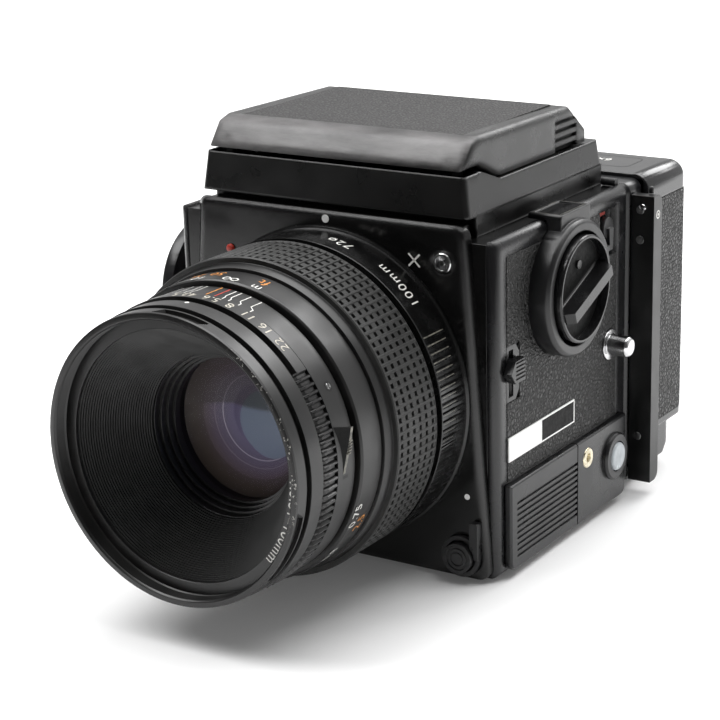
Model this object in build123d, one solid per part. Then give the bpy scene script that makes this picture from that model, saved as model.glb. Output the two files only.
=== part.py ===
from build123d import *
from math import sqrt
import os

# Medium format single lens reflex film camera. Millimetres, +Z up, the lens looks along -Y.
# While it is built, y is the depth behind the body's front face. The whole model is then moved
# forward, so that the origin is the mouth of the tripod socket in the base.

# Body
socket_setback = 40.0
lens_height = 49.8
body_half = 50.6
body_depth = 80.0
body_bottom = 1.2
deck_rise = 43.5
deck_top = lens_height + deck_rise
cover_lift = 0.7
cover_top = deck_top + cover_lift
cover_thickness = 3.0
cover_round = 2.4
plate_step = 2.2
plate_rise = 4.4
plate_top = deck_top + plate_rise
plate_top_inset = 9.8
plate_bottom_inset = 1.6
plate_half_top = body_half - plate_top_inset
plate_half_bottom = body_half - plate_bottom_inset
plate_flare = 2.4
plate_shelf = 7.5
plate_round = 3.0
base_inset = 6.0
joint_gap = 0.3
seat_gap = 0.1
shaft_gap = 0.06

# Mirror chamber and light path
chamber_half = 38.0
chamber_front = 8.5
chamber_wall = 4.0
chamber_drop = 30.4
chamber_floor = lens_height - chamber_drop
screen_shelf = 5.0
chamber_top = deck_top - screen_shelf
gate_width = 70.0
gate_height = 56.0
port_radius = 34.0
screen_half = 36.0
screen_front = 12.0
screen_setback = 6.0
screen_rear = body_depth - screen_setback
screen_thickness = 2.0
screen_ledge = 1.5
mirror_pivot_setback = 7.5
mirror_pivot_depth = body_depth - mirror_pivot_setback
mirror_pivot_drop = 9.8
mirror_pivot_z = deck_top - mirror_pivot_drop
mirror_length = 62.0
mirror_half = 34.0
mirror_plate = 1.6
mirror_glass_thickness = 1.5
mirror_margin = 1.0
mirror_shaft = 1.5
mirror_rest_angle = 45.0
baffle_drop = 4.2
baffle_clearance = 1.9
baffle_length = mirror_pivot_z - baffle_drop - chamber_floor - baffle_clearance
baffle_thickness = 1.0
baffle_shaft = 1.0

# Leather panels on the sides
leather_front = 7.4
leather_setback = 7.6
leather_rear = body_depth - leather_setback
leather_low = 27.3
leather_drop = 4.7
leather_top = cover_top - leather_drop
leather_recess = 0.5
leather_proud = 0.15
leather_gap = 0.1
skin_gap = 0.03

# Lower side cover, battery door and its battery
lower_front = 5.8
lower_setback = 4.5
lower_rear = body_depth - lower_setback
lower_bottom = 2.4
lower_top = 27.0
lower_proud = 2.2
door_rear = 44.6
door_lift = 0.2
rib_count = 10
rib_depth = 0.7
rib_margin = 3.4
battery_radius = 6.5
battery_length = 25.0
battery_depth = 13.0
battery_z = 11.0
battery_cap_radius = 3.2
battery_cap_length = 1.2

# Small fittings on the right side
cable_setback = 24.7
cable_depth = lower_rear - cable_setback
cable_z = 21.0
cable_radius = 2.7
cable_bore = 1.3
cable_seat = 3.0
check_setback = 8.0
check_depth = lower_rear - check_setback
check_z = 16.4
check_collar = 7.0
check_radius = 4.2
check_reach = 1.9
check_travel = 1.2
slider_depth = 9.8
slider_half = 3.2
slider_low = 55.2
slider_high = 61.4
slider_reach = 2.4
slider_travel = 4.0
slot_low = 50.8
slot_high = 63.6
slot_half = 4.6
slot_depth = 1.6
badge_front = 7.6
badge_rear = 45.6
badge_low = 33.0
badge_high = 39.8
badge_thickness = 0.4
latch_setback = 4.9
latch_depth = leather_rear - latch_setback
latch_drop = 5.3
latch_z = leather_top - latch_drop
latch_radius = 3.0
latch_reach = 1.8
latch_recess_length = 10.9
latch_recess_front = leather_rear - latch_recess_length
latch_recess_height = 13.3
latch_recess_low = leather_top - latch_recess_height
lug_setback = 4.4
lug_depth = leather_rear - lug_setback
lug_z = 49.7
lug_radius = 3.0
lug_flange = 4.5
lug_flange_thickness = 1.2
lug_length = 7.1

# Shutter speed knob and its window
knob_depth = 38.2
knob_rise = 24.4
knob_z = lens_height + knob_rise
knob_radius = 14.8
knob_inner = 13.9
knob_groove = 1.0
knob_reach = 7.7
knob_floor = 0.7
knob_cup = 4.9
knob_fin_reach = 9.9
knob_fin_foot = 14.1
knob_fin_half = 11.6
knob_pin = 1.2
knob_pin_rise = 6.6
knob_shaft = 3.0
knob_bar_width = 3.2
knob_bar_angle = 21.0
knob_bar_offset = -1.2
housing_radius = 18.8
housing_reach = 6.0
window_front = 30.5
window_rear = 47.5
window_inset = 6.0
window_overhang = 4.0
window_inner = body_half - window_inset
window_outer = body_half + window_overhang
window_lift = 1.6
window_top = cover_top + window_lift
window_drop = 6.4
window_rim = 1.4
window_glass = 0.8

# Release button, lock and flash socket on the front
release_inset = 9.5
release_x = body_half - release_inset
release_z = 7.6
release_radius = 4.2
release_reach = 3.4
release_back = -0.3
release_travel = 2.0
release_core = 2.4
release_stem = 3.0
lock_radius = 5.8
lock_thickness = 1.5
lock_reach = 10.4
lock_arm = 2.6
sync_inset = 4.9
sync_drop = 10.0
sync_x = plate_half_top - sync_inset
sync_z = plate_top - sync_drop
sync_radius = 2.7
sync_pin = 0.8
sync_bore = 1.9
index_dot_drop = 2.0
index_dot_z = plate_top - index_dot_drop
index_dot_radius = 1.1
lock_dot_shift = 1.5
lock_dot_rise = 16.8
lock_dot_x = release_x + lock_dot_shift
lock_dot_z = release_z + lock_dot_rise
lock_dot_radius = 0.8
dot_thickness = 0.15

# Advance crank on the left side
crank_depth = 28.5
crank_rise = 14.2
crank_z = lens_height + crank_rise
crank_radius = 19.5
crank_rim = 4.4
crank_reach = 13.9
crank_hub = 13.0
crank_shaft = 3.2
crank_arm_width = 9.0
crank_arm_thickness = 2.2
crank_arm_length = 27.0
crank_pivot_rise = 6.0
crank_slot_rise = 10.0
crank_knob_radius = 3.6
crank_knob_length = 4.0

# Finder
finder_inset = 8.2
finder_half_low = body_half - finder_inset
finder_taper = 1.5
finder_half_high = finder_half_low - finder_taper
finder_front = 2.4
finder_setback = 1.0
finder_rear = body_depth - finder_setback
finder_rise = 5.9
finder_low = deck_top + finder_rise
finder_cheek_rise = 10.75
finder_cheek = finder_low + finder_cheek_rise
finder_side_rise = 7.2
finder_side_top = finder_low + finder_side_rise
finder_cheek_rear = 21.3
finder_skirt_inset = 0.8
finder_skirt_half = finder_half_low - finder_skirt_inset
finder_skirt_front = 8.0
well_wall = 6.0
well_half = finder_half_low - well_wall
well_front = 9.0
well_setback = 5.5
well_rear = finder_rear - well_setback
hood_pivot_depth = 6.0
hood_pivot_rise = 1.9
hood_pivot_z = finder_cheek + hood_pivot_rise
lid_inset = 2.2
lid_half = finder_half_low - lid_inset
lid_front = 3.2
lid_front_rise = 1.35
lid_front_z = finder_cheek + lid_front_rise
lid_brow = 8.3
lid_brow_rise = 6.5
lid_brow_z = lid_front_z + lid_brow_rise
lid_crown_rise = 1.2
lid_crown_z = lid_brow_z + lid_crown_rise
lid_rear_drop = 0.6
lid_rear_top_z = lid_crown_z - lid_rear_drop
lid_setback = 5.6
lid_rear = finder_rear - lid_setback
lid_rear_slope = 10.4
lid_rear_top = lid_rear - lid_rear_slope
lid_seat = 0.4
lid_low = finder_side_top + lid_seat
lid_wall = 1.6
lid_grip_setback = 5.9
lid_grip_rear = lid_rear - lid_grip_setback
lid_grip_length = 13.0
lid_grip_front = lid_grip_rear - lid_grip_length
lid_leather_inset = 5.0
lid_leather_half = lid_half - lid_leather_inset
lid_leather_front = 12.6
lid_leather_setback = 11.8
lid_leather_rear = lid_rear - lid_leather_setback
lid_leather_thickness = 0.6
hood_open = 100.0
flap_ratio = 0.9
flap_pivot_inset = 1.0
flap_pivot_x = well_half - flap_pivot_inset
flap_pivot_rise = 5.2
flap_pivot_z = finder_low + flap_pivot_rise
flap_height = 29.0
flap_thickness = 0.9
flap_front = 14.0
flap_setback = 7.5
flap_rear = well_rear - flap_setback
flap_front_slant = 15.0
flap_rear_slant = 16.0
flap_shaft = 0.9
ear_half = 1.2
ear_round = 1.15  # round of the lid's two hinge ears
ear_gap = 0.2
hood_shaft = 0.65
ear_reach = 3.0  # from the pivot back to the rear of the ear's post
ear_post = 1.6
trough_radius = 3.1  # sunk round the hinge, where the lid's lower edge turns
finder_corner = 1.4
lid_corner = 1.2
rear_flap_setback = 2.9
rear_flap_pivot = well_rear - rear_flap_setback
rear_flap_lift = 4.8
rear_flap_z = flap_pivot_z + rear_flap_lift
rear_flap_height = 18.0
rear_flap_inset = 2.9
rear_flap_half = well_half - rear_flap_inset
magnifier_setback = 37.4
magnifier_pivot = lid_rear - magnifier_setback
magnifier_drop = 4.2
magnifier_z = lid_rear_top_z - magnifier_drop
magnifier_half = 16.0
magnifier_length = 27.5
magnifier_thickness = 2.4
magnifier_glass = 11.5

# Film back
back_seat = 0.3
back_front = body_depth + back_seat
back_frame_depth = 8.3
back_gate_plane = back_front + back_frame_depth
back_cover_depth = 28.7
back_rear = back_gate_plane + back_cover_depth
back_overhang = 2.0
back_half = body_half + back_overhang
back_frame_inset = 0.2
back_frame_half = body_half - back_frame_inset
back_bottom = 4.0
back_rise = 1.7
back_top = deck_top + back_rise
back_frame_drop = 1.1
back_wall = 1.7
back_round = 5.0
back_lower_top = 16.0
back_lower_inset = 3.0
back_leather_low = 18.3
back_leather_drop = 8.4
back_leather_top = back_top - back_leather_drop
door_pivot_reach = 1.3
door_pivot_x = -back_half - door_pivot_reach
door_pivot_setback = 0.15
door_pivot_depth = back_gate_plane + door_pivot_setback
door_knuckle = 1.1
door_knuckle_length = 5.0
frame_knuckle_rise = 8.0
frame_knuckle_drop = 16.0
cover_knuckle_rise = frame_knuckle_rise + door_knuckle_length + joint_gap
cover_knuckle_drop = frame_knuckle_drop + door_knuckle_length + joint_gap
spool_setback = 14.1
spool_depth = back_gate_plane + spool_setback
spool_inset = 15.6
spool_x = back_half - spool_inset
spool_radius = 12.2
spool_core = 6.0
spool_flange = 1.3
spool_half_height = 32.0
spool_shaft = 2.5
shelf_edge = 3.5
shelf_thickness = 1.2
plate_press_half = 37.0
plate_press_half_height = 31.0
plate_press_thickness = 1.2
plate_web_half = 20.0
plate_web_depth = 6.0
slide_setback = 3.3
slide_depth = back_front + slide_setback
slide_thickness = 0.6
slide_half_height = 31.0
slide_left = -37.0
slide_travel = 86.0
handle_gap = 0.5
handle_inner = back_frame_half + handle_gap
handle_width = 7.2
handle_outer = handle_inner + handle_width
handle_setback = 0.6
handle_front = back_front + handle_setback
handle_depth = 5.5
handle_rear = handle_front + handle_depth
handle_low = 4.4
handle_drop = 4.2
handle_top = back_top - handle_drop
handle_screw = 1.2
handle_screw_shift = 0.7
handle_screw_drops = (4.2, 13.0)
handle_screw_rise = 14.0
handle_screw_seat = 0.6

# Lens, with radii from the optical axis and depths ahead of the body as negative values
bayonet_radius = 32.6
bayonet_bore = 29.6
bayonet_tail = 5.0
rear_flange_radius = 44.0
rear_flange_depth = 0.9
rear_ring_radius = 43.3
rear_ring_front = -13.6
rear_rib_count = 93
rear_rib_start = 27.0
rear_rib_arc = 234.0
rear_groove = 0.8
rear_groove_depth = 0.5
rear_groove_back = -2.6
sleeve_radius = 37.0
sleeve_bore = 35.2
sleeve_front = -46.0
grip_radius = 43.2
grip_bed = 41.7
grip_rear = -15.8
grip_front = -34.8
grip_groove_count = 120
grip_groove = 0.9
grip_groove_depth = 0.45
lip_radius = 41.5
lip_front = -39.3
scale_radius = 40.2
focus_front = -47.0
focus_rear = -14.0
focus_turn = 270.0
focus_extension = 12.0
barrel_rear = -48.0
barrel_core = 34.9
barrel_tail = -1.0
barrel_tail_radius = 28.8
barrel_tail_slope = 2.6
barrel_tail_step = 0.6
depth_radius = 38.7
depth_front = -56.6
aperture_radius = 38.9
aperture_front = -61.2
aperture_bed = 36.0
aperture_turn = 120.0
aperture_rib_count = 70
aperture_rib_start = 39.0
aperture_rib_arc = 225.0
aperture_groove = 0.9
aperture_groove_depth = 0.6
front_ring_radius = 38.4
front_ring_front = -66.8
rim_radius = 38.0
rim_front = -72.3
rim_rear = -67.3
rim_slot_front = 1.4
rim_slot_width = 1.8
rim_slot_depth = 1.0
rim_slot_half = 8.6
rim_slot_angles = (80.0, -30.0, 200.0)
filter_radius = 36.0
filter_depth = 4.2
cone_mouth = 32.8
cone_throat = 21.8
cone_back = -50.4
cone_steps = 6
cone_step_rise = 0.25
cone_wall = 34.2
front_glass_radius = 20.8
front_glass_front = -41.6
front_glass_thickness = 5.2
front_glass_bulge = 3.2
rear_glass_radius = 22.0
rear_glass_rear = 3.0
rear_glass_thickness = 9.0
rear_glass_bulge = 2.6
dome_rings = 5
iris_radius = 26.0
iris_depth = -32.0
iris_thickness = 0.8
iris_blades = 5
iris_pocket_rear = 6.0
iris_pocket_front = 4.0
preview_angle = 4.0
preview_thickness = 1.6
preview_margin = 0.6
preview_half = 9.4
preview_low_near = 7.2
preview_high_near = 4.0
preview_scale = 1.55
preview_travel = 15.0


def block(x0, x1, y0, y1, z0, z1):
    size = Box(x1 - x0, y1 - y0, z1 - z0)
    return Pos((x0 + x1) / 2, (y0 + y1) / 2, (z0 + z1) / 2) * size


def rod_x(radius, x0, x1, y, z):
    return Pos((x0 + x1) / 2, y, z) * Rot(0, 90, 0) * Cylinder(radius, x1 - x0)


def rod_y(radius, y0, y1, x=0.0, z=lens_height):
    return Pos(x, (y0 + y1) / 2, z) * Rot(90, 0, 0) * Cylinder(radius, y1 - y0)


def rod_z(radius, z0, z1, x, y):
    return Pos(x, y, (z0 + z1) / 2) * Cylinder(radius, z1 - z0)


def prism_x(points, x0, x1):
    """A YZ outline carried along X."""
    face = Plane.YZ * make_face(Polyline(*points, close=True))
    return Pos(x0, 0, 0) * extrude(face, x1 - x0)


def turned(points):
    """A radius and depth outline turned about the optical axis."""
    ring = revolve(make_face(Polyline(*points, close=True)), Axis.Y)
    return Pos(0, 0, lens_height) * ring


def tube_y(outer, inner, y0, y1):
    return turned([(inner, y0), (outer, y0), (outer, y1), (inner, y1)])


def edges_where(shape, along, test):
    return shape.edges().filter_by(along).filter_by(lambda edge: test(edge.center()))


def soften(shape, along, test, radius):
    return fillet(edges_where(shape, along, test), radius)


# Body casting and covers

core_half = body_half - cover_thickness
chamber_rear = body_depth - chamber_wall
gate_low = lens_height - gate_height / 2
gate_high = lens_height + gate_height / 2
screen_low = deck_top - screen_thickness - 1.0
lower_face = body_half + lower_proud


def battery_bay():
    bay_radius = battery_radius + joint_gap
    y0 = battery_depth - joint_gap
    y1 = battery_depth + battery_length + battery_cap_length + joint_gap
    x = core_half - battery_radius + cover_thickness - 1.0
    cut = rod_y(bay_radius, y0, y1, x, battery_z)
    return cut + block(x, lower_face, y0, y1, battery_z - bay_radius, battery_z + bay_radius)


def casing():
    body = block(-core_half, core_half, plate_step, body_depth, body_bottom, deck_top)
    body -= block(-chamber_half, chamber_half, chamber_front, chamber_rear, chamber_floor, chamber_top)
    body -= rod_y(port_radius, 0, chamber_front + 1)
    body -= block(-gate_width / 2, gate_width / 2, chamber_rear - 1, body_depth + 1, gate_low, gate_high)
    ledge = screen_half - screen_ledge
    body -= block(-ledge, ledge, screen_front + screen_ledge, screen_rear - screen_ledge,
                  chamber_top - 1, deck_top + 1)
    body -= block(-screen_half, screen_half, screen_front, screen_rear, screen_low, deck_top + 1)
    body -= rod_y(bayonet_radius + 3.4, 0, chamber_front - 1.5)
    body -= battery_bay()
    shaft_reach = chamber_half + 3.0
    body -= rod_x(mirror_shaft + shaft_gap, -shaft_reach, shaft_reach, mirror_pivot_depth, mirror_pivot_z)
    baffle_z = mirror_pivot_z - baffle_drop
    body -= rod_x(baffle_shaft + shaft_gap, -shaft_reach, shaft_reach, mirror_pivot_depth + 1.0, baffle_z)
    body -= rod_z(6.0, 0, body_bottom + 6.0, 0, socket_setback)
    stem_end = plate_step + release_stem + release_travel + joint_gap
    body -= rod_y(release_core + joint_gap, plate_step - 1, stem_end, release_x, release_z)
    return body


def plate_outline(depth, half_bottom, half_top):
    plane = Plane(origin=(0, depth, 0), x_dir=(1, 0, 0), z_dir=(0, -1, 0))
    points = [(-half_bottom, body_bottom), (half_bottom, body_bottom),
              (half_top, plate_top), (-half_top, plate_top)]
    face = make_face(Polyline(*points, close=True))
    return plane * fillet(face.vertices(), plate_round)


def front_plate():
    front = plate_outline(0, plate_half_bottom, plate_half_top)
    back = plate_outline(plate_step, plate_half_bottom + 0.6, plate_half_top + plate_flare)
    plate = loft([front, back])
    shelf_half = plate_half_top + plate_flare - plate_round
    plate += block(-shelf_half, shelf_half, plate_step, plate_shelf, deck_top, plate_top - 0.6)
    plate -= rod_y(bayonet_radius + 3.4, -1, plate_shelf + 1)
    plate -= rod_y(sync_radius, -1, plate_step + 1, sync_x, sync_z)
    plate -= rod_y(release_radius + joint_gap, -1, plate_step + 1, release_x, release_z)
    return plate


def cover_slab():
    slab = block(core_half, body_half, plate_step, body_depth, body_bottom, cover_top)
    outer = edges_where(slab, Axis.Z, lambda c: c.X > core_half + 1)
    outer += edges_where(slab, Axis.Y, lambda c: c.X > core_half + 1)
    slab = fillet(outer, cover_round)
    floor = body_half - leather_recess
    slab -= block(floor, body_half + 1, leather_front, leather_rear, leather_low, leather_top)
    return slab - rod_x(lug_flange + seat_gap, floor, body_half + 1, lug_depth, lug_z)


def right_side_cover():
    slab = cover_slab()
    y1 = battery_depth + battery_length + battery_cap_length + joint_gap
    bay = battery_radius + joint_gap
    slab -= block(core_half - 1, body_half + 1, battery_depth - joint_gap, y1,
                  battery_z - bay, battery_z + bay)
    slab -= block(body_half - slot_depth - leather_recess, body_half + 1, slider_depth - 1.2,
                  slider_depth + 1.2, slot_low, slot_high)
    slab -= block(body_half - 2.0, body_half + 1, latch_recess_front, leather_rear,
                  latch_recess_low, leather_top)
    floor = body_half - leather_recess
    slab -= rod_x(cable_seat, core_half - 1, floor + 1, cable_depth, cable_z)
    return slab


def left_side_cover():
    slab = mirror(cover_slab(), Plane.YZ)
    slab -= rod_x(crank_shaft + shaft_gap, -body_half - 1, -core_half + 1, crank_depth, crank_z)
    return slab


def leather_sheet():
    floor = body_half - leather_recess
    return block(floor, body_half + leather_proud, leather_front + leather_gap, leather_rear - leather_gap,
                 leather_low + leather_gap, leather_top - leather_gap)


def right_leatherette():
    x1 = body_half + 2
    sheet = leather_sheet()
    sheet -= rod_x(housing_radius + leather_gap, core_half, x1, knob_depth, knob_z)
    sheet -= block(core_half, x1, window_front - leather_gap, window_rear + leather_gap, knob_z, cover_top)
    sheet -= block(core_half, x1, 0, slider_depth + slot_half, slot_low - 1.4, slot_high + 1.4)
    sheet -= rod_x(lug_flange + leather_gap, core_half, x1, lug_depth, lug_z)
    sheet -= block(core_half, x1, latch_recess_front - leather_gap, body_depth,
                   latch_recess_low - leather_gap, cover_top)
    return sheet


def left_leatherette():
    sheet = mirror(leather_sheet(), Plane.YZ)
    x0 = -body_half - 2
    sheet -= rod_x(crank_hub + joint_gap, x0, -core_half, crank_depth, crank_z)
    sheet -= rod_x(lug_flange + leather_gap, x0, -core_half, lug_depth, lug_z)
    return sheet


def base_plate():
    plate = block(-body_half + base_inset, body_half - base_inset, plate_step + base_inset,
                  body_depth - base_inset, 0, body_bottom)
    plate = soften(plate, Axis.Z, lambda c: True, 5.0)
    return plate - rod_z(6.0, -1, body_bottom + 1, 0, socket_setback)


def tripod_bush():
    bush = rod_z(5.95, 0, body_bottom + 6.0, 0, socket_setback)
    return bush - rod_z(3.25, -1, body_bottom + 5.0, 0, socket_setback)


# Battery, door and lower cover

def battery():
    x = core_half - battery_radius + cover_thickness - 1.0
    y1 = battery_depth + battery_length
    can = rod_y(battery_radius, battery_depth, y1, x, battery_z)
    can = chamfer(can.edges(), 0.6)
    return can + rod_y(battery_cap_radius, y1, y1 + battery_cap_length, x, battery_z)


def lower_slab(x0, y0, y1, rounded_depth):
    slab = block(x0, lower_face, y0, y1, lower_bottom, lower_top)
    ends = edges_where(slab, Axis.X, lambda c: abs(c.Y - rounded_depth) < 0.1 and c.Z < lower_top - 1)
    slab = fillet(ends, 3.0)
    rims = slab.edges().filter_by(lambda e: e.center().X > lower_face - 0.01)
    keep = rims.filter_by(lambda e: abs(e.center().Y - door_rear) > 0.6)
    return chamfer(keep, 0.5)


def battery_door():
    door = lower_slab(body_half + door_lift, lower_front, door_rear - 0.15, lower_front)
    low = lower_bottom + rib_margin
    pitch = (lower_top - rib_margin - 1.0 - low) / rib_count
    for index in range(rib_count):
        z = low + pitch * index
        door -= block(lower_face - rib_depth, lower_face + 1, lower_front + rib_margin, door_rear,
                      z, z + pitch * 0.45)
    return door


def lower_side_cover():
    cover = lower_slab(body_half, door_rear + 0.15, lower_rear, lower_rear)
    collar = rod_x(check_collar, body_half, lower_face + 1.3, check_depth, check_z)
    collar = chamfer(collar.edges().filter_by(GeomType.CIRCLE).sort_by(Axis.X)[-1], 0.6)
    cover += collar
    cover -= rod_x(check_radius + joint_gap, body_half - 1, lower_face + 3, check_depth, check_z)
    cover -= rod_x(cable_seat, body_half - 1, lower_face + 1, cable_depth, cable_z)
    return cover


def cable_socket():
    rim = rod_x(cable_seat - seat_gap / 2, core_half, lower_face + 0.3, cable_depth, cable_z)
    rim = chamfer(rim.edges().filter_by(GeomType.CIRCLE).sort_by(Axis.X)[-1], 0.3)
    return rim - rod_x(cable_bore, core_half + 1, lower_face + 1, cable_depth, cable_z)


def check_button():
    cap = rod_x(check_radius, body_half + check_travel + joint_gap, lower_face + check_reach,
                check_depth, check_z)
    rim = cap.edges().filter_by(GeomType.CIRCLE).sort_by(Axis.X)[-1]
    return chamfer(rim, 0.5)


# Side fittings

def slot_slider():
    floor = body_half + leather_proud + seat_gap
    z_mid = (slider_low + slider_high) / 2
    points = [(slider_depth - slider_half - 1.4, z_mid), (slider_depth - slider_half + 1.0, slider_high),
              (slider_depth + slider_half, slider_high), (slider_depth + slider_half, slider_low),
              (slider_depth - slider_half + 1.0, slider_low)]
    pad = prism_x(points, floor, floor + slider_reach)
    for index in range(5):
        z = slider_low + 1.0 + 1.1 * index
        pad -= block(floor + slider_reach - 0.4, floor + 9, slider_depth - 2.0, slider_depth + 9, z, z + 0.5)
    stem = block(body_half - slot_depth, floor, slider_depth - 0.9, slider_depth + 0.9,
                 slider_low + 0.2, slider_high - 0.2)
    return pad + stem


def slider_frame():
    floor = body_half - leather_recess
    y1 = slider_depth + slot_half - leather_gap
    z0 = slot_low - 1.3
    z1 = slot_high + 1.3
    points = [(leather_front + leather_gap, z0), (y1 - 2.0, z0), (y1, z0 + 2.4), (y1, z1 - 2.4),
              (y1 - 2.0, z1), (leather_front + leather_gap, z1)]
    frame = prism_x(points, floor, body_half)
    return frame - block(floor - 1, body_half + 1, slider_depth - 1.2, slider_depth + 1.2,
                         slot_low, slot_high)


def back_latch():
    x0 = body_half - 2.0
    boss = rod_x(latch_radius, x0 + 0.1, x0 + latch_reach, latch_depth, latch_z)
    points = [(latch_depth - 1.4, latch_z), (latch_depth + 1.4, latch_z),
              (latch_depth + 0.9, latch_z - 6.4), (latch_depth - 2.4, latch_z - 6.4),
              (latch_depth - 2.4, latch_z - 4.9), (latch_depth - 1.0, latch_z - 4.6)]
    return boss + prism_x(points, x0 + 0.3, x0 + latch_reach + 1.0)


def strap_lugs():
    x0 = body_half - leather_recess
    flange = rod_x(lug_flange, x0, x0 + lug_flange_thickness, lug_depth, lug_z)
    post = rod_x(lug_radius, x0, body_half + lug_length, lug_depth, lug_z)
    post = chamfer(post.edges().filter_by(GeomType.CIRCLE).sort_by(Axis.X)[-1], 0.8)
    lug = flange + post
    return Compound(children=[lug, mirror(lug, Plane.YZ)])


def badge_plate():
    x0 = body_half + leather_proud
    return block(x0, x0 + badge_thickness, badge_front, badge_rear, badge_low, badge_high)


# Shutter speed knob

def knob_housing():
    x0 = body_half - leather_recess
    x1 = body_half + housing_reach
    drum = rod_x(housing_radius, x0, x1, knob_depth, knob_z)
    drum = chamfer(drum.edges().filter_by(GeomType.CIRCLE).sort_by(Axis.X)[-1], 0.9)
    z0 = window_top - window_drop
    head = block(x0, window_outer, window_front, window_rear, z0, window_top)
    head += block(window_inner, x0, window_front, window_rear, cover_top, window_top)
    head = soften(head, Axis.X, lambda c: c.Z > window_top - 0.1, 0.8)
    drum += head
    pane = block(window_inner + window_rim, window_outer - window_rim, window_front + window_rim,
                 window_rear - window_rim, window_top - window_glass - 0.2, window_top + 1)
    drum -= pane
    drum -= rod_x(knob_radius + knob_groove, body_half + knob_floor, x1 + 1, knob_depth, knob_z)
    drum -= cover_slab()
    return drum - rod_x(knob_shaft + shaft_gap, x0 - 1, x1, knob_depth, knob_z)


def speed_window():
    inset = window_rim + seat_gap / 2
    top = window_top - 0.2
    return block(window_inner + inset, window_outer - inset, window_front + inset, window_rear - inset,
                 top - window_glass, top)


def shutter_speed_knob():
    x0 = body_half + knob_floor + joint_gap
    x1 = body_half + knob_reach
    cup = rod_x(knob_radius, x0, x1, knob_depth, knob_z)
    rim = cup.edges().filter_by(GeomType.CIRCLE).sort_by(Axis.X)[-1]
    cup = chamfer(rim, 0.4)
    floor = body_half + knob_cup
    top = body_half + knob_fin_reach
    cup -= rod_x(knob_inner, floor, x1 + 1, knob_depth, knob_z)
    foot = floor - 0.5
    side = [(foot, -knob_fin_foot), (top, -knob_fin_half), (top, knob_fin_half), (foot, knob_fin_foot)]
    fin = extrude(make_face(Polyline(*side, close=True)), knob_bar_width)
    fin = Pos(0, 0, knob_bar_offset - knob_bar_width / 2) * fin
    fin = Pos(0, knob_depth, knob_z) * Rot(knob_bar_angle, 0, 0) * fin
    cup += fin & rod_x(knob_radius - 0.4, foot, top, knob_depth, knob_z)
    cup += rod_x(knob_pin, foot, floor + 0.7, knob_depth, knob_z + knob_pin_rise)
    return cup + rod_x(knob_shaft, body_half, x0, knob_depth, knob_z)


# Front fittings

def shutter_button():
    cap = rod_y(release_radius, -release_reach, release_back, release_x, release_z)
    groove_floor = -release_reach + 0.35
    for radius in (release_radius - 0.9, release_radius - 2.1):
        groove = rod_y(radius, -release_reach - 1, groove_floor, release_x, release_z)
        cap -= groove - rod_y(radius - 0.5, -release_reach - 1, groove_floor, release_x, release_z)
    return cap + rod_y(release_core, release_back, plate_step + release_stem, release_x, release_z)


def shutter_lock():
    y0 = -seat_gap - lock_thickness
    ring = rod_y(lock_radius, y0, -seat_gap, release_x, release_z)
    arm = block(release_x + lock_radius - lock_arm, release_x + lock_radius, y0 - 0.8, -seat_gap,
                release_z, release_z + lock_reach)
    arm = soften(arm, Axis.Y, lambda c: c.Z > release_z + 1, 0.6)
    ring += arm
    return ring - rod_y(release_radius + joint_gap, y0 - 1, 1, release_x, release_z)


def sync_socket():
    shell = rod_y(sync_radius, -0.4, plate_step, sync_x, sync_z)
    shell = chamfer(shell.edges().filter_by(GeomType.CIRCLE).sort_by(Axis.Y)[0], 0.25)
    shell -= rod_y(sync_bore, -1, plate_step - 0.6, sync_x, sync_z)
    return shell + rod_y(sync_pin, -0.2, plate_step, sync_x, sync_z)


def index_dots():
    top_dot = rod_y(index_dot_radius, -dot_thickness, 0, 0, index_dot_z)
    lock_dot = rod_y(lock_dot_radius, -dot_thickness, 0, lock_dot_x, lock_dot_z)
    return Compound(children=[top_dot, lock_dot])


# Advance crank

def crank():
    x0 = -body_half - crank_reach
    rim = rod_x(crank_radius, x0, x0 + crank_rim, crank_depth, crank_z)
    rim = chamfer(rim.edges().filter_by(GeomType.CIRCLE).sort_by(Axis.X)[0], 0.9)
    hub = rod_x(crank_hub, x0 + crank_rim, -body_half - joint_gap, crank_depth, crank_z)
    shaft = rod_x(crank_shaft, -body_half - joint_gap, -core_half - 0.2, crank_depth, crank_z)
    slot_half_width = crank_arm_width / 2 + joint_gap
    slot = block(x0 - 1, x0 + crank_arm_thickness + joint_gap, crank_depth - slot_half_width,
                 crank_depth + slot_half_width, crank_z - crank_radius - 1, crank_z + crank_slot_rise)
    return rim + hub + shaft - slot


def crank_handle():
    x0 = -body_half - crank_reach
    pivot_z = crank_z + crank_pivot_rise
    low = pivot_z - crank_arm_length
    arm = block(x0, x0 + crank_arm_thickness, crank_depth - crank_arm_width / 2,
                crank_depth + crank_arm_width / 2, low, pivot_z)
    arm = soften(arm, Axis.X, lambda c: c.Z < low + 1, 3.0)
    eye = Pos(x0 + crank_arm_thickness / 2, crank_depth, pivot_z) * Rot(90, 0, 0)
    arm += eye * Cylinder(crank_arm_thickness / 2, crank_arm_width)
    grip = rod_x(crank_knob_radius, x0 - crank_knob_length, x0, crank_depth, low + crank_knob_radius + 0.6)
    rim = grip.edges().filter_by(GeomType.CIRCLE).sort_by(Axis.X)[0]
    return arm + chamfer(rim, 0.8)


# Lens mount and mirror

def lens_mount():
    ring = tube_y(bayonet_radius + 3.3, bayonet_radius + 0.3, 0.6, chamber_front - 1.6)
    lip = tube_y(bayonet_radius + 3.3, bayonet_radius - 1.2, bayonet_tail + 0.6, chamber_front - 1.6)
    return ring + lip


def tilted(solid):
    turn = Rot(mirror_rest_angle, 0, 0)
    return Pos(0, mirror_pivot_depth, mirror_pivot_z) * turn * solid


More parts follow.
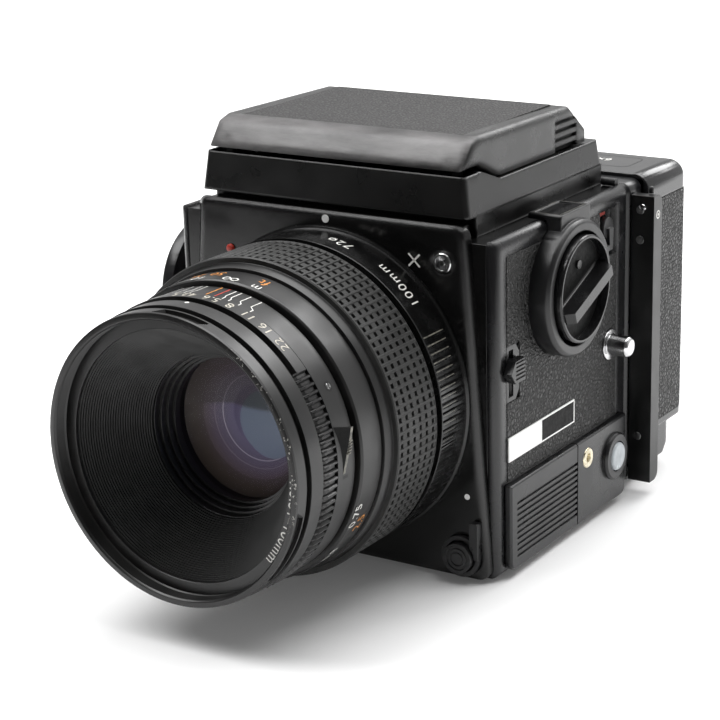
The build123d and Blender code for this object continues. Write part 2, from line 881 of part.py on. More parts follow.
def mirror_frame():
    tray = block(-mirror_half, mirror_half, -mirror_length, -2.0, -mirror_plate / 2, mirror_plate / 2)
    tray += block(-mirror_half + 4, mirror_half - 4, -2.6, 0, -mirror_plate / 2, mirror_plate / 2)
    tray += rod_x(mirror_shaft, -chamber_half - 2.6, chamber_half + 2.6, 0, 0)
    return tilted(tray)


def mirror_glass():
    inset = mirror_margin
    low = mirror_plate / 2
    sheet = block(-mirror_half + inset, mirror_half - inset, -mirror_length + inset, -4.0,
                  low, low + mirror_glass_thickness)
    return tilted(sheet)


def light_baffle():
    y = mirror_pivot_depth + 1.0
    z = mirror_pivot_z - baffle_drop
    flap = block(-gate_width / 2 - 1, gate_width / 2 + 1, y - baffle_thickness / 2, y + baffle_thickness / 2,
                 z - baffle_length, z)
    return flap + rod_x(baffle_shaft, -chamber_half - 2.6, chamber_half + 2.6, y, z)


def focusing_screen():
    gap = seat_gap
    return block(-screen_half + gap, screen_half - gap, screen_front + gap, screen_rear - gap,
                 screen_low, screen_low + screen_thickness)


# Finder

def finder_frame():
    low = Plane.XY.offset(finder_low) * Pos(0, (finder_front + finder_rear) / 2) * Rectangle(
        2 * finder_half_low, finder_rear - finder_front)
    high = Plane.XY.offset(finder_cheek) * Pos(0, (finder_front + finder_rear) / 2) * Rectangle(
        2 * finder_half_high, finder_rear - finder_front - 1.6)
    frame = loft([low, high])
    corners = frame.edges().filter_by(lambda e: finder_low + 3 < e.center().Z < finder_cheek - 3)
    frame = fillet(corners, finder_corner)
    shoulder = [(finder_front + 4.0, finder_cheek + 2), (finder_cheek_rear, finder_side_top),
                (finder_rear + 5, finder_side_top), (finder_rear + 5, finder_cheek + 2)]
    frame -= prism_x(shoulder, -finder_half_low - 1, finder_half_low + 1)
    frame += block(-finder_skirt_half, finder_skirt_half, finder_skirt_front, finder_rear + 1.4,
                   deck_top, finder_low)
    frame -= block(-well_half, well_half, well_front, well_rear, deck_top - 1, lid_crown_z)
    x1 = lid_half - lid_wall - joint_gap
    frame -= block(-x1 - 2.3, x1 + 2.3, finder_front + 3.0, well_front + 1, finder_cheek - 2.2, lid_crown_z)
    frame -= rod_x(trough_radius, -x1 - 2.3, x1 + 2.3, hood_pivot_depth, hood_pivot_z)
    for side in (-1, 1):
        x = side * hood_ear_x()
        y1 = hood_pivot_depth + ear_reach
        frame += rod_x(ear_round, x - ear_half, x + ear_half, hood_pivot_depth, hood_pivot_z)
        frame += block(x - ear_half, x + ear_half, hood_pivot_depth, y1, hood_pivot_z - ear_round,
                       hood_pivot_z + hood_shaft)
        frame += block(x - ear_half, x + ear_half, y1 - ear_post, y1, finder_cheek - 2.6, hood_pivot_z)
        x = side * flap_pivot_x
        for y0, y1 in ((well_front - 1.4, flap_front), (flap_rear, well_rear + 1.4)):
            frame += block(x - ear_half, x + ear_half, y0, y1, deck_top + 5, flap_pivot_z + ear_half)
        x = side * rear_ear_x()
        frame += block(x - ear_half, x + ear_half, rear_flap_pivot - ear_half,
                       lid_rear - lid_wall - joint_gap, deck_top + 6, rear_flap_z + ear_half)
    bore = flap_shaft + shaft_gap
    frame -= rod_x(bore, -lid_half, lid_half, hood_pivot_depth, hood_pivot_z)
    for side in (-1, 1):
        x = side * flap_pivot_x
        frame -= rod_y(bore, well_front - 1.4, well_rear + 1.4, x, flap_pivot_z)
        x = side * rear_ear_x()
        frame -= rod_x(bore, x - 1.6, x + 1.6, rear_flap_pivot, rear_flap_z)
    return frame


def hood_ear_x():
    return lid_half - lid_wall - joint_gap - 2 * ear_half


def rear_ear_x():
    return rear_flap_half + ear_half + 1.0


def lid_outline(inset):
    return [(lid_front + inset, lid_front_z), (lid_brow + inset * 0.6, lid_brow_z - inset * 0.8),
            (lid_leather_front, lid_crown_z - inset), (lid_rear_top - inset * 0.4, lid_rear_top_z - inset),
            (lid_rear - inset, lid_rear_top_z - 8.0), (lid_rear - inset, lid_low),
            (finder_cheek_rear, lid_low), (hood_pivot_depth + 6.0, lid_front_z)]


def finder_lid():
    shell = prism_x(lid_outline(0), -lid_half, lid_half)
    long_edges = edges_where(shell, Axis.X, lambda c: c.Z > lid_low + 3 and c.Y > 6)
    shell = fillet(long_edges, 1.6)
    corners = shell.edges().filter_by(lambda e: abs(e.center().X) > lid_half - 0.1)
    corners = corners.filter_by(lambda e: e.center().Z > lid_low + 4 and e.center().Y < lid_rear_top)
    shell = fillet(corners, lid_corner)
    hollow = prism_x(lid_outline(lid_wall), -lid_half + lid_wall, lid_half - lid_wall)
    hollow += prism_x([(lid_front + lid_wall, lid_front_z), (hood_pivot_depth + 6, lid_front_z + 1),
                       (finder_cheek_rear, lid_low + 1), (lid_rear - lid_wall, lid_low + 1),
                       (lid_rear - lid_wall, lid_low - 1), (lid_front + lid_wall, lid_low - 1)],
                      -lid_half + lid_wall, lid_half - lid_wall)
    shell -= hollow
    for side in (-1, 1):
        x0 = side * lid_half
        grip = block(min(x0, x0 - side * 0.9), max(x0, x0 - side * 0.9), lid_grip_front, lid_grip_rear,
                     lid_low - 1, lid_low + 8.6)
        shell -= grip
        for index in range(3):
            z = lid_low + 1.5 + 2.4 * index
            shell += block(min(x0, x0 - side * 0.9), max(x0, x0 - side * 0.9), lid_grip_front,
                           lid_grip_rear, z, z + 1.2)
    reach = lid_half - lid_wall / 2
    inner = hood_ear_x() - ear_half
    for side in (-1, 1):
        notch = ear_half + joint_gap
        x = side * hood_ear_x()
        shell -= rod_x(ear_round + ear_gap, x - notch, x + notch, hood_pivot_depth, hood_pivot_z)
        shell += rod_x(flap_shaft, min(side * reach, side * inner), max(side * reach, side * inner),
                       hood_pivot_depth, hood_pivot_z)
    top = block(-lid_leather_half, lid_leather_half, lid_leather_front, lid_leather_rear,
                lid_rear_top_z - 0.2, lid_crown_z + 1)
    return shell - top


def lid_leatherette():
    gap = leather_gap
    return block(-lid_leather_half + gap, lid_leather_half - gap, lid_leather_front + gap,
                 lid_leather_rear - gap, lid_rear_top_z - 0.2, lid_rear_top_z - 0.2 + lid_leather_thickness)


def side_flap(side):
    z0 = flap_pivot_z - flap_thickness / 2
    tip = flap_pivot_x - flap_height
    points = [(flap_pivot_x, flap_front + joint_gap), (flap_pivot_x, flap_rear - joint_gap),
              (tip, flap_rear - flap_rear_slant), (tip, flap_front + flap_front_slant)]
    sheet = extrude(Plane.XY.offset(z0) * make_face(Polyline(*points, close=True)), flap_thickness)
    flap = sheet + rod_y(flap_shaft, well_front - 1.2, well_rear + 1.2, flap_pivot_x, flap_pivot_z)
    return flap if side > 0 else mirror(flap, Plane.YZ)


def rear_flap():
    z0 = rear_flap_z - flap_thickness / 2
    sheet = block(-rear_flap_half, rear_flap_half, rear_flap_pivot - rear_flap_height, rear_flap_pivot,
                  z0, z0 + flap_thickness)
    sheet = soften(sheet, Axis.Z, lambda c: c.Y < rear_flap_pivot - 5, 4.0)
    reach = rear_ear_x() + ear_half - 0.2
    return sheet + rod_x(flap_shaft, -reach, reach, rear_flap_pivot, rear_flap_z)


def magnifier_frame():
    y1 = magnifier_pivot + magnifier_length
    low = magnifier_z - magnifier_thickness / 2
    frame = block(-magnifier_half, magnifier_half, magnifier_pivot, y1, low, low + magnifier_thickness)
    frame = soften(frame, Axis.Z, lambda c: c.Y > y1 - 1, 4.0)
    y_mid = magnifier_pivot + magnifier_length / 2 + 0.6
    frame -= rod_z(magnifier_glass, low - 1, magnifier_z + 9, 0, y_mid)
    reach = magnifier_half + 2.6
    return frame + rod_x(flap_shaft, -reach, reach, magnifier_pivot, magnifier_z)


def magnifier_lens():
    y_mid = magnifier_pivot + magnifier_length / 2 + 0.6
    low = magnifier_z - magnifier_thickness / 2 + 0.2
    return rod_z(magnifier_glass - seat_gap / 2, low, low + magnifier_thickness - 0.4, 0, y_mid)


def magnifier_bracket():
    z1 = lid_rear_top_z - 0.6
    bracket = None
    for side in (-1, 1):
        x = side * (magnifier_half + 2.0)
        ear = block(x - 1.0, x + 1.0, magnifier_pivot - 1.6, magnifier_pivot + 1.6, magnifier_z - 1.5, z1)
        ear -= rod_x(flap_shaft + shaft_gap, x - 2, x + 2, magnifier_pivot, magnifier_z)
        bracket = ear if bracket is None else bracket + ear
    return bracket


# Film back

def back_frame():
    crown = back_top - back_frame_drop
    frame = block(-back_frame_half, back_frame_half, back_front, back_gate_plane, back_bottom, crown)
    frame = soften(frame, Axis.Y, lambda c: c.Z > crown - 1, 3.0)
    brow = edges_where(frame, Axis.X, lambda c: c.Z > crown - 1 and c.Y < back_front + 1)
    frame = chamfer(brow, 1.2)
    ridge = back_frame_half - 2.5
    frame += block(-ridge, ridge, body_depth, back_front, back_bottom + 2.5, back_top - 6.5)
    frame -= block(-gate_width / 2, gate_width / 2, body_depth - 1, back_gate_plane + 1, gate_low, gate_high)
    y0 = slide_depth - slide_thickness / 2 - joint_gap
    y1 = slide_depth + slide_thickness / 2 + joint_gap
    z = slide_half_height + joint_gap
    frame -= block(slide_left - joint_gap, back_frame_half + 1, y0, y1, lens_height - z, lens_height + z)
    for z0 in (back_bottom + frame_knuckle_rise, back_top - frame_knuckle_drop):
        lug = block(door_pivot_x - door_knuckle, -back_frame_half, door_pivot_depth - 1.4,
                    back_gate_plane, z0, z0 + door_knuckle_length)
        lug += rod_z(door_knuckle, z0, z0 + door_knuckle_length, door_pivot_x, door_pivot_depth)
        frame += lug
    return frame


def film_insert():
    plate = block(-plate_press_half, plate_press_half, back_gate_plane + joint_gap,
                  back_gate_plane + joint_gap + plate_press_thickness,
                  lens_height - plate_press_half_height, lens_height + plate_press_half_height)
    y1 = spool_depth + spool_shaft + shelf_edge
    reach = spool_half_height + joint_gap
    shelf_half = spool_x + spool_shaft + shelf_edge
    for z0 in (lens_height - reach - shelf_thickness, lens_height + reach):
        shelf = block(-shelf_half, shelf_half, back_gate_plane, y1, z0, z0 + shelf_thickness)
        for side in (-1, 1):
            shelf -= rod_z(spool_shaft + shaft_gap, z0 - 1, z0 + 3, side * spool_x, spool_depth)
        plate += shelf
    plate += block(-plate_web_half, plate_web_half, back_gate_plane + joint_gap,
                   back_gate_plane + plate_web_depth,
                   lens_height - reach - 0.5, lens_height + reach + 0.5)
    return plate


def spool(side):
    x = side * spool_x
    low = lens_height - spool_half_height
    high = lens_height + spool_half_height
    reel = rod_z(spool_core, low, high, x, spool_depth)
    reel += rod_z(spool_radius, low, low + spool_flange, x, spool_depth)
    reel += rod_z(spool_radius, high - spool_flange, high, x, spool_depth)
    tip = joint_gap + shelf_thickness
    return reel + rod_z(spool_shaft, low - tip, high + tip, x, spool_depth)


def back_cover():
    y0 = back_gate_plane + joint_gap
    upper = block(-back_half, back_half, y0, back_rear, back_lower_top, back_top)
    edges = edges_where(upper, Axis.Z, lambda c: c.Y > back_rear - 1)
    edges += upper.edges().filter_by(lambda e: e.center().Z > back_top - 0.1 and e.center().Y > y0 + 1)
    upper = fillet(edges, back_round)
    side = back_half - back_lower_inset
    rear = back_rear - back_lower_inset
    lower = block(-side, side, y0, rear, back_bottom, back_lower_top)
    heel = edges_where(lower, Axis.X, lambda c: c.Y > rear - 1 and c.Z < back_bottom + 1)
    lower = chamfer(heel, 6.0)
    lower = soften(lower, Axis.Z, lambda c: c.Y > rear - 1, 4.0)
    shell = upper + lower
    wall = back_wall
    shell -= block(-back_half + wall, back_half - wall, y0 - 1, back_rear - wall, back_lower_top + wall,
                   back_top - wall)
    shell -= block(-side + wall, side - wall, y0 - 1, rear - wall,
                   back_bottom + wall, back_lower_top + wall + 1)
    for z0 in (back_bottom + cover_knuckle_rise, back_top - cover_knuckle_drop):
        z1 = z0 + door_knuckle_length
        knuckle = rod_z(door_knuckle, z0, z1, door_pivot_x, door_pivot_depth)
        knuckle += block(door_pivot_x, -back_half, y0, y0 + 1.6, z0, z1)
        shell += knuckle
    outer = block(-back_half - 1, back_half + 1, y0 + 4.0, back_rear + 1, back_leather_low, back_leather_top)
    inset = leather_recess
    inner = block(-back_half + inset, back_half - inset, y0, back_rear - inset, back_bottom, back_top)
    corner = edges_where(inner, Axis.Z, lambda c: c.Y > back_rear - 1)
    return shell - (outer - fillet(corner, back_round - inset))


def back_leatherette():
    y0 = back_gate_plane + joint_gap + 4.0 + leather_gap
    proud = leather_proud
    low = back_leather_low + leather_gap
    high = back_leather_top - leather_gap
    skin = block(-back_half - proud, back_half + proud, y0, back_rear + proud, low, high)
    skin = soften(skin, Axis.Z, lambda c: c.Y > back_rear - 1, back_round + proud)
    inset = leather_recess - skin_gap
    core = block(-back_half + inset, back_half - inset, y0 - 9, back_rear - inset, low - 9, high + 9)
    core = soften(core, Axis.Z, lambda c: c.Y > back_rear - 1, back_round - inset)
    return skin - core


def dark_slide():
    half = slide_thickness / 2
    return block(slide_left, handle_inner, slide_depth - half, slide_depth + half,
                 lens_height - slide_half_height, lens_height + slide_half_height)


def dark_slide_handle():
    bar = block(handle_inner, handle_outer, handle_front, handle_rear, handle_low, handle_top)
    corners = edges_where(bar, Axis.X, lambda c: c.Y > handle_rear - 0.1)
    bar = fillet(corners, 2.6)
    seat = handle_front + handle_screw_seat
    for z in handle_screw_heights():
        bar -= rod_y(handle_screw + seat_gap / 2, handle_front - 1, seat, handle_x(), z)
    return bar


def handle_x():
    return (handle_inner + handle_outer) / 2 - handle_screw_shift


def handle_screw_heights():
    return [handle_low + handle_screw_rise] + [handle_top - drop for drop in handle_screw_drops]


def dark_slide_screws():
    heads = []
    for z in handle_screw_heights():
        heads.append(rod_y(handle_screw, handle_front - 0.2, handle_front + handle_screw_seat, handle_x(), z))
    return Compound(children=heads)


# Lens

def axial_grooves(radius, depth, width, rear, front, count, start, arc):
    """Straight cuts along the lens, clockwise from the start angle as seen from the front."""
    cut = block(radius - depth, radius + 1, front, rear, -width / 2, width / 2)
    steps = count if arc == 360.0 else count - 1
    return [Pos(0, 0, lens_height) * Rot(0, arc * index / steps - start, 0) * cut for index in range(count)]


def lens_rear_barrel():
    ring = turned([(sleeve_bore, sleeve_front), (sleeve_radius, sleeve_front),
                   (sleeve_radius, rear_ring_front), (rear_ring_radius, rear_ring_front),
                   (rear_ring_radius, -rear_flange_depth), (rear_flange_radius, -rear_flange_depth),
                   (rear_flange_radius, 0), (bayonet_radius, 0), (bayonet_radius, bayonet_tail),
                   (bayonet_bore, bayonet_tail), (bayonet_bore, -1.6), (sleeve_bore, -3.6)])
    return ring - axial_grooves(rear_ring_radius, rear_groove_depth, rear_groove, rear_groove_back,
                                rear_ring_front - 1, rear_rib_count, rear_rib_start, rear_rib_arc)


def focus_ring():
    bore = sleeve_radius + shaft_gap
    return turned([(bore, focus_rear), (grip_bed, focus_rear), (grip_bed, grip_front),
                   (lip_radius, grip_front), (lip_radius, lip_front), (scale_radius - 0.5, lip_front),
                   (scale_radius - 0.5, lip_front - 0.7), (scale_radius, lip_front - 0.7),
                   (scale_radius - 0.4, focus_front), (bore, focus_front)])


def focus_grip():
    sleeve = tube_y(grip_radius, grip_bed, grip_front, grip_rear)
    return sleeve - axial_grooves(grip_radius, grip_groove_depth, grip_groove, grip_rear + 1,
                                  grip_front - 1, grip_groove_count, 0.0, 360.0)


def lens_barrel():
    tail = barrel_tail - barrel_tail_step
    pocket_rear = iris_depth + iris_pocket_rear
    pocket_front = iris_depth - iris_pocket_front
    return turned([(cone_wall, rim_rear), (rim_radius - 0.6, rim_rear),
                   (rim_radius - 0.6, front_ring_front), (front_ring_radius, front_ring_front),
                   (front_ring_radius, aperture_front - 0.2), (aperture_bed, aperture_front - 0.2),
                   (aperture_bed, depth_front), (depth_radius, depth_front),
                   (depth_radius, barrel_rear), (barrel_core, barrel_rear),
                   (barrel_core, tail - barrel_tail_slope), (barrel_tail_radius, tail),
                   (barrel_tail_radius, rear_glass_rear + 1.0), (rear_glass_radius, rear_glass_rear + 1.0),
                   (rear_glass_radius, pocket_rear), (iris_radius, pocket_rear),
                   (iris_radius, pocket_front), (front_glass_radius, pocket_front),
                   (front_glass_radius, cone_back), (cone_wall, cone_back)])


def filter_rim():
    bed = filter_depth + rim_front
    ring = turned([(filter_radius, rim_front), (rim_radius, rim_front), (rim_radius, rim_rear),
                   (cone_mouth, rim_rear), (cone_mouth, bed), (filter_radius, bed)])
    slot_front = rim_front + rim_slot_front
    slot = tube_y(rim_radius + 1, rim_radius - rim_slot_depth, slot_front, slot_front + rim_slot_width)
    sector = block(0, rim_radius + 2, rim_front, rim_rear, -rim_slot_half, rim_slot_half)
    for middle in rim_slot_angles:
        wedge = Pos(0, 0, lens_height) * Rot(0, -middle, 0) * sector
        ring -= slot & wedge
    return ring


def light_trap():
    depth = cone_back - rim_rear
    outline = [(cone_wall - 0.05, rim_rear), (cone_mouth, rim_rear)]
    for index in range(cone_steps):
        share = (index + 1) / cone_steps
        radius = cone_mouth + (cone_throat - cone_mouth) * share
        outline.append((radius + cone_step_rise, rim_rear + depth * share))
        outline.append((radius, rim_rear + depth * share))
    outline += [(front_glass_radius, cone_back), (cone_wall - 0.05, cone_back)]
    return turned(outline)


def dome(radius, front, bulge, back):
    """A lens with a spherical front, drawn as a few cones."""
    sphere = (radius ** 2 + bulge ** 2) / (2 * bulge)
    outline = [(0, back), (0, front)]
    for index in range(dome_rings):
        reach = radius * (index + 1) / dome_rings
        outline.append((reach, front + sphere - sqrt(sphere ** 2 - reach ** 2)))
    return turned(outline + [(radius, back)])


def front_glass():
    return dome(front_glass_radius - seat_gap / 2, front_glass_front, front_glass_bulge,
                front_glass_front + front_glass_thickness)


def rear_glass():
    flipped = dome(rear_glass_radius - seat_gap / 2, -rear_glass_rear, rear_glass_bulge,
                   rear_glass_thickness - rear_glass_rear)
    return Pos(0, 0, 2 * lens_height) * Rot(180, 0, 0) * flipped


def iris():
    blades = []
    for index in range(iris_blades):
        turn = Rot(0, 360 / iris_blades * index, 0)
        wedge = [(0.3, iris_depth), (iris_radius - 0.2, iris_depth),
                 (iris_radius - 0.2, iris_depth + iris_thickness), (0.3, iris_depth + iris_thickness)]
        blade = revolve(make_face(Polyline(*wedge, close=True)), Axis.Y, 360 / iris_blades - 0.8)
        blades.append(Pos(0, 0, lens_height) * turn * blade)
    return Compound(children=blades)


def aperture_ring():
    bore = aperture_bed + shaft_gap
    ring = tube_y(aperture_radius, bore, aperture_front, depth_front - 0.2)
    return ring - axial_grooves(aperture_radius, aperture_groove_depth, aperture_groove, depth_front + 1,
                                aperture_front - 1, aperture_rib_count, aperture_rib_start, aperture_rib_arc)


def preview_lever():
    low = depth_radius + joint_gap / 3
    rear = barrel_rear - preview_margin
    front = depth_front + 2.2
    shoe = turned([(low, rear), (low + preview_thickness, rear), (low + preview_thickness - 0.4, front),
                   (low, front)])
    reach = preview_scale * depth_radius
    points = [(0, -preview_low_near), (reach, -preview_half), (reach, preview_half), (0, preview_high_near)]
    wedge = extrude(Plane.XZ * make_face(Polyline(*points, close=True)), 2 * reach)
    return shoe & (Pos(0, 0, lens_height) * Rot(0, -preview_angle, 0) * wedge)


def parts():
    return {
        "casing": casing(),
        "front_plate": front_plate(),
        "right_side_cover": right_side_cover(),
        "left_side_cover": left_side_cover(),
        "right_leatherette": right_leatherette(),
        "left_leatherette": left_leatherette(),
        "base_plate": base_plate(),
        "tripod_bush": tripod_bush(),
        "battery": battery(),
        "battery_door": battery_door(),
        "lower_side_cover": lower_side_cover(),
        "cable_socket": cable_socket(),
        "check_button": check_button(),
        "slot_slider": slot_slider(),
        "slider_frame": slider_frame(),
        "back_latch": back_latch(),
        "strap_lugs": strap_lugs(),
        "badge_plate": badge_plate(),
        "knob_housing": knob_housing(),
        "speed_window": speed_window(),
        "shutter_speed_knob": shutter_speed_knob(),
        "shutter_button": shutter_button(),
        "shutter_lock": shutter_lock(),
        "sync_socket": sync_socket(),
        "index_dots": index_dots(),
        "advance_crank": crank(),
        "crank_handle": crank_handle(),
        "lens_mount": lens_mount(),
        "mirror_frame": mirror_frame(),
        "mirror_glass": mirror_glass(),
        "light_baffle": light_baffle(),
        "focusing_screen": focusing_screen(),
        "finder_frame": finder_frame(),
        "finder_lid": finder_lid() + magnifier_bracket(),
        "lid_leatherette": lid_leatherette(),
        "right_hood_flap": side_flap(1),
        "left_hood_flap": side_flap(-1),
        "rear_hood_flap": rear_flap(),
        "magnifier_frame": magnifier_frame(),
        "magnifier_lens": magnifier_lens(),
        "back_frame": back_frame(),
        "film_insert": film_insert(),
        "supply_spool": spool(1),
        "take_up_spool": spool(-1),
        "back_cover": back_cover(),
        "back_leatherette": back_leatherette(),
        "dark_slide": dark_slide(),
        "dark_slide_handle": dark_slide_handle(),
        "dark_slide_screws": dark_slide_screws(),
        "lens_rear_barrel": lens_rear_barrel(),
        "focus_ring": focus_ring(),
        "focus_grip": focus_grip(),
        "lens_barrel": lens_barrel(),
        "filter_rim": filter_rim(),
        "light_trap": light_trap(),
        "front_glass": front_glass(),
        "rear_glass": rear_glass(),
        "iris": iris(),
        "aperture_ring": aperture_ring(),
        "preview_lever": preview_lever(),
    }


os.makedirs("parts", exist_ok=True)
for name, solid in parts().items():
    export_step(Pos(0, -socket_setback, 0) * solid, f"parts/{name}.step")
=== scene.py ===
import bmesh
import bpy
from math import cos, hypot, pi, radians, sin
from mathutils import Matrix, Vector


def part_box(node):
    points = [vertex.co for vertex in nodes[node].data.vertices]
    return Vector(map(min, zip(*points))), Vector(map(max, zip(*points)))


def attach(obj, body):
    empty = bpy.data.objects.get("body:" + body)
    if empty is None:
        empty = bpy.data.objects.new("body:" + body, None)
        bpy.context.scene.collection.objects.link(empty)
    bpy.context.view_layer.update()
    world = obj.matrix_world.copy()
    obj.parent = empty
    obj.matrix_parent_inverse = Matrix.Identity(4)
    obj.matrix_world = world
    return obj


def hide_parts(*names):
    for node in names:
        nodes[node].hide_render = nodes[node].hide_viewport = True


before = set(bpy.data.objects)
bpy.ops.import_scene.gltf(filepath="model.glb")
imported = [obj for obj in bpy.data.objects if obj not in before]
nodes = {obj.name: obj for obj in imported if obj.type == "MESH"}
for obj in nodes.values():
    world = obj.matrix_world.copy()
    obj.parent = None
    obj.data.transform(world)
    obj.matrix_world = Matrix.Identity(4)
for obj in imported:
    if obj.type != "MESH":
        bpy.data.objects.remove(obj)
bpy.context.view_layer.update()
mm = 0.001
lensHeight = 49.8 * mm
bodySetback = 40.0 * mm  # depth behind the front face, less this, is the row frame's Y
# how far paint stands off what it is printed on, in mm
paintLift = {"ring": 0.05, "front": 0.04, "handle": 0.04, "top": 0.03, "back": 0.05, "knob": 0.05}


# helpers for colours, nodes and meshes

def linearColour(hexCode):
    channels = [int(hexCode[i:i + 2], 16) / 255 for i in (1, 3, 5)]
    return [c / 12.92 if c <= 0.04045 else ((c + 0.055) / 1.055) ** 2.4 for c in channels] + [1.0]


def addNode(tree, kind, inputs=None, **settings):
    node = tree.nodes.new(kind)
    for key, value in settings.items():
        setattr(node, key, value)
    for socket, value in (inputs or {}).items():
        if isinstance(value, bpy.types.NodeSocket):
            tree.links.new(value, node.inputs[socket])
        else:
            node.inputs[socket].default_value = value
    return node


def newMaterial(name):
    material = bpy.data.materials.new(name)
    material.use_nodes = True
    tree = material.node_tree
    tree.nodes.clear()
    return material, tree


def finishMaterial(material, tree, shader):
    addNode(tree, "ShaderNodeOutputMaterial", {"Surface": shader.outputs[0]})
    return material


def lensPoint(radius, angle, depth):
    # radius and depth in mm, angle in degrees anticlockwise from the right as seen from the front
    a = radians(angle)
    return (radius * cos(a) * mm, depth * mm - bodySetback, lensHeight + radius * sin(a) * mm)


def bodyPoint(x, depth, z):
    return (x * mm, depth * mm - bodySetback, z * mm)


def meshObject(name, points, faces, material, sharp=32.0):
    mesh = bpy.data.meshes.new(name)
    mesh.from_pydata([tuple(p) for p in points], [], faces)
    mesh.validate()
    for polygon in mesh.polygons:
        polygon.use_smooth = True
    mesh.set_sharp_from_angle(angle=radians(sharp))
    mesh.update()
    obj = bpy.data.objects.new(name, mesh)
    bpy.context.scene.collection.objects.link(obj)
    if material:
        mesh.materials.append(material)
    return obj


def gridFaces(rows, count, closeRows=False, closeCount=True, base=0):
    # quads between neighbouring rows of count points each
    faces = []
    for row in range(rows if closeRows else rows - 1):
        a, b = base + row * count, base + (row + 1) % rows * count
        for i in range(count if closeCount else count - 1):
            j = (i + 1) % count
            faces.append((a + i, a + j, b + j, b + i))
    return faces


def easeCorners(profile, size):
    # each corner of a closed turned outline gives way to a small round, so that edges catch the light
    eased = []
    for i, (r, d) in enumerate(profile):
        steps = []
        for other in (profile[i - 1], profile[(i + 1) % len(profile)]):
            length = hypot(other[0] - r, other[1] - d)
            reach = min(size, length * 0.4)
            steps.append((r + (other[0] - r) * reach / length, d + (other[1] - d) * reach / length))
        middle = ((steps[0][0] + steps[1][0]) / 4 + r / 2, (steps[0][1] + steps[1][1]) / 4 + d / 2)
        eased += [steps[0], middle, steps[1]]
    return eased


def turnedObject(name, profile, material, segments, shift=None, sharp=32.0):
    # a closed outline is turned about the lens axis; shift(angle, radius, depth) may move a point in or out
    points = []
    for s in range(segments):
        angle = 360.0 * s / segments
        points += [lensPoint(r + (shift(angle, r, d) if shift else 0.0), angle, d) for r, d in profile]
    obj = meshObject(name, points, gridFaces(segments, len(profile), closeRows=True), material, sharp)
    fixNormals(obj)
    keepFlat(obj)
    return obj


def keepFlat(obj):
    # wide bands keep their own normals beside narrow eased edges
    weighted = obj.modifiers.new("weighted", "WEIGHTED_NORMAL")
    weighted.weight = 100
    weighted.keep_sharp = True


def fixNormals(obj):
    mesh = bmesh.new()
    mesh.from_mesh(obj.data)
    bmesh.ops.recalc_face_normals(mesh, faces=mesh.faces)
    mesh.to_mesh(obj.data)
    mesh.free()


def flatText(words, size, spacing):
    # the outline of the words as points in mm and faces, its middle at 0
    curve = bpy.data.curves.new("words", "FONT")
    curve.body = words
    curve.size = size
    curve.space_character = spacing
    curve.align_x = "CENTER"
    curve.align_y = "CENTER"
    holder = bpy.data.objects.new("words", curve)
    bpy.context.scene.collection.objects.link(holder)
    bpy.context.view_layer.update()
    mesh = bpy.data.meshes.new_from_object(holder.evaluated_get(bpy.context.evaluated_depsgraph_get()))
    points = [(v.co.x, v.co.y) for v in mesh.vertices]
    faces = [tuple(p.vertices) for p in mesh.polygons]
    bpy.data.objects.remove(holder)
    bpy.data.meshes.remove(mesh)
    return points, faces


def strokes(lines, width):
    # thin painted lines as flat quads, from lists of (u, v) corners in mm
    points, faces = [], []
    for line in lines:
        for (u0, v0), (u1, v1) in zip(line, line[1:]):
            length = hypot(u1 - u0, v1 - v0)
            nu, nv = -(v1 - v0) / length * width / 2, (u1 - u0) / length * width / 2
            eu, ev = (u1 - u0) / length * width / 4, (v1 - v0) / length * width / 4
            base = len(points)
            points += [(u0 - eu + nu, v0 - ev + nv), (u0 - eu - nu, v0 - ev - nv),
                       (u1 + eu - nu, v1 + ev - nv), (u1 + eu + nu, v1 + ev + nv)]
            faces.append((base, base + 1, base + 2, base + 3))
    return points, faces


def circlePoints(radius, segments):
    turns = [2 * pi * i / segments for i in range(segments)]
    return [(radius * cos(a), radius * sin(a)) for a in turns]


def disc(radius, segments=32):
    return circlePoints(radius, segments), [tuple(range(segments))]


def ringShape(outer, inner, segments=40):
    return circlePoints(outer, segments) + circlePoints(inner, segments), gridFaces(2, segments)


def rectangle(left, right, low, high):
    return [(left, low), (right, low), (right, high), (left, high)], [(0, 1, 2, 3)]


def paintOn(name, shapes, place, material, body):
    # flat shapes in mm are laid on a surface by place(u, v) and ride on that body
    points, faces = [], []
    for shapePoints, shapeFaces in shapes:
        base = len(points)
        points += [place(u, v) for u, v in shapePoints]
        faces += [tuple(base + i for i in face) for face in shapeFaces]
    obj = meshObject(name, points, faces, material)
    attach(obj, body)
    return obj


def ringPlace(radius, middle, depth):
    # lays flat shapes on a ring: u runs anticlockwise seen from the front, v towards the front
    return lambda u, v: lensPoint(radius + paintLift["ring"], middle + u / radius * 180 / pi, depth - v)


def facePlace(radius, middle, depth):
    # lays words on a face that looks forward: they run clockwise with their tops outward
    return lambda u, v: lensPoint(radius + v, middle - u / radius * 180 / pi, depth - paintLift["ring"])


def frontPlace(x, z):
    # on the front of the body, u runs to the right and v upward
    return lambda u, v: bodyPoint(x + u, -paintLift["front"], z + v)


def sidePlace(x, depth, z):
    # seen from the right, u runs to the back and v upward
    return lambda u, v: bodyPoint(x, depth + u, z + v)


def topPlace(z):
    # seen from above with the front at the bottom
    return lambda u, v: bodyPoint(u, v, z + paintLift["top"])


print("helpers ready")


# materials, each named for what the real surface is

def texturePlace(tree):
    return addNode(tree, "ShaderNodeTexCoord").outputs["Object"]


def grain(tree, place, size, detail=2.0, roughness=0.5):
    # size is the width of one grain in mm
    return addNode(tree, "ShaderNodeTexNoise", {"Vector": place, "Scale": 1.0 / (size * mm), "Detail": detail,
                                                "Roughness": roughness}).outputs["Fac"]


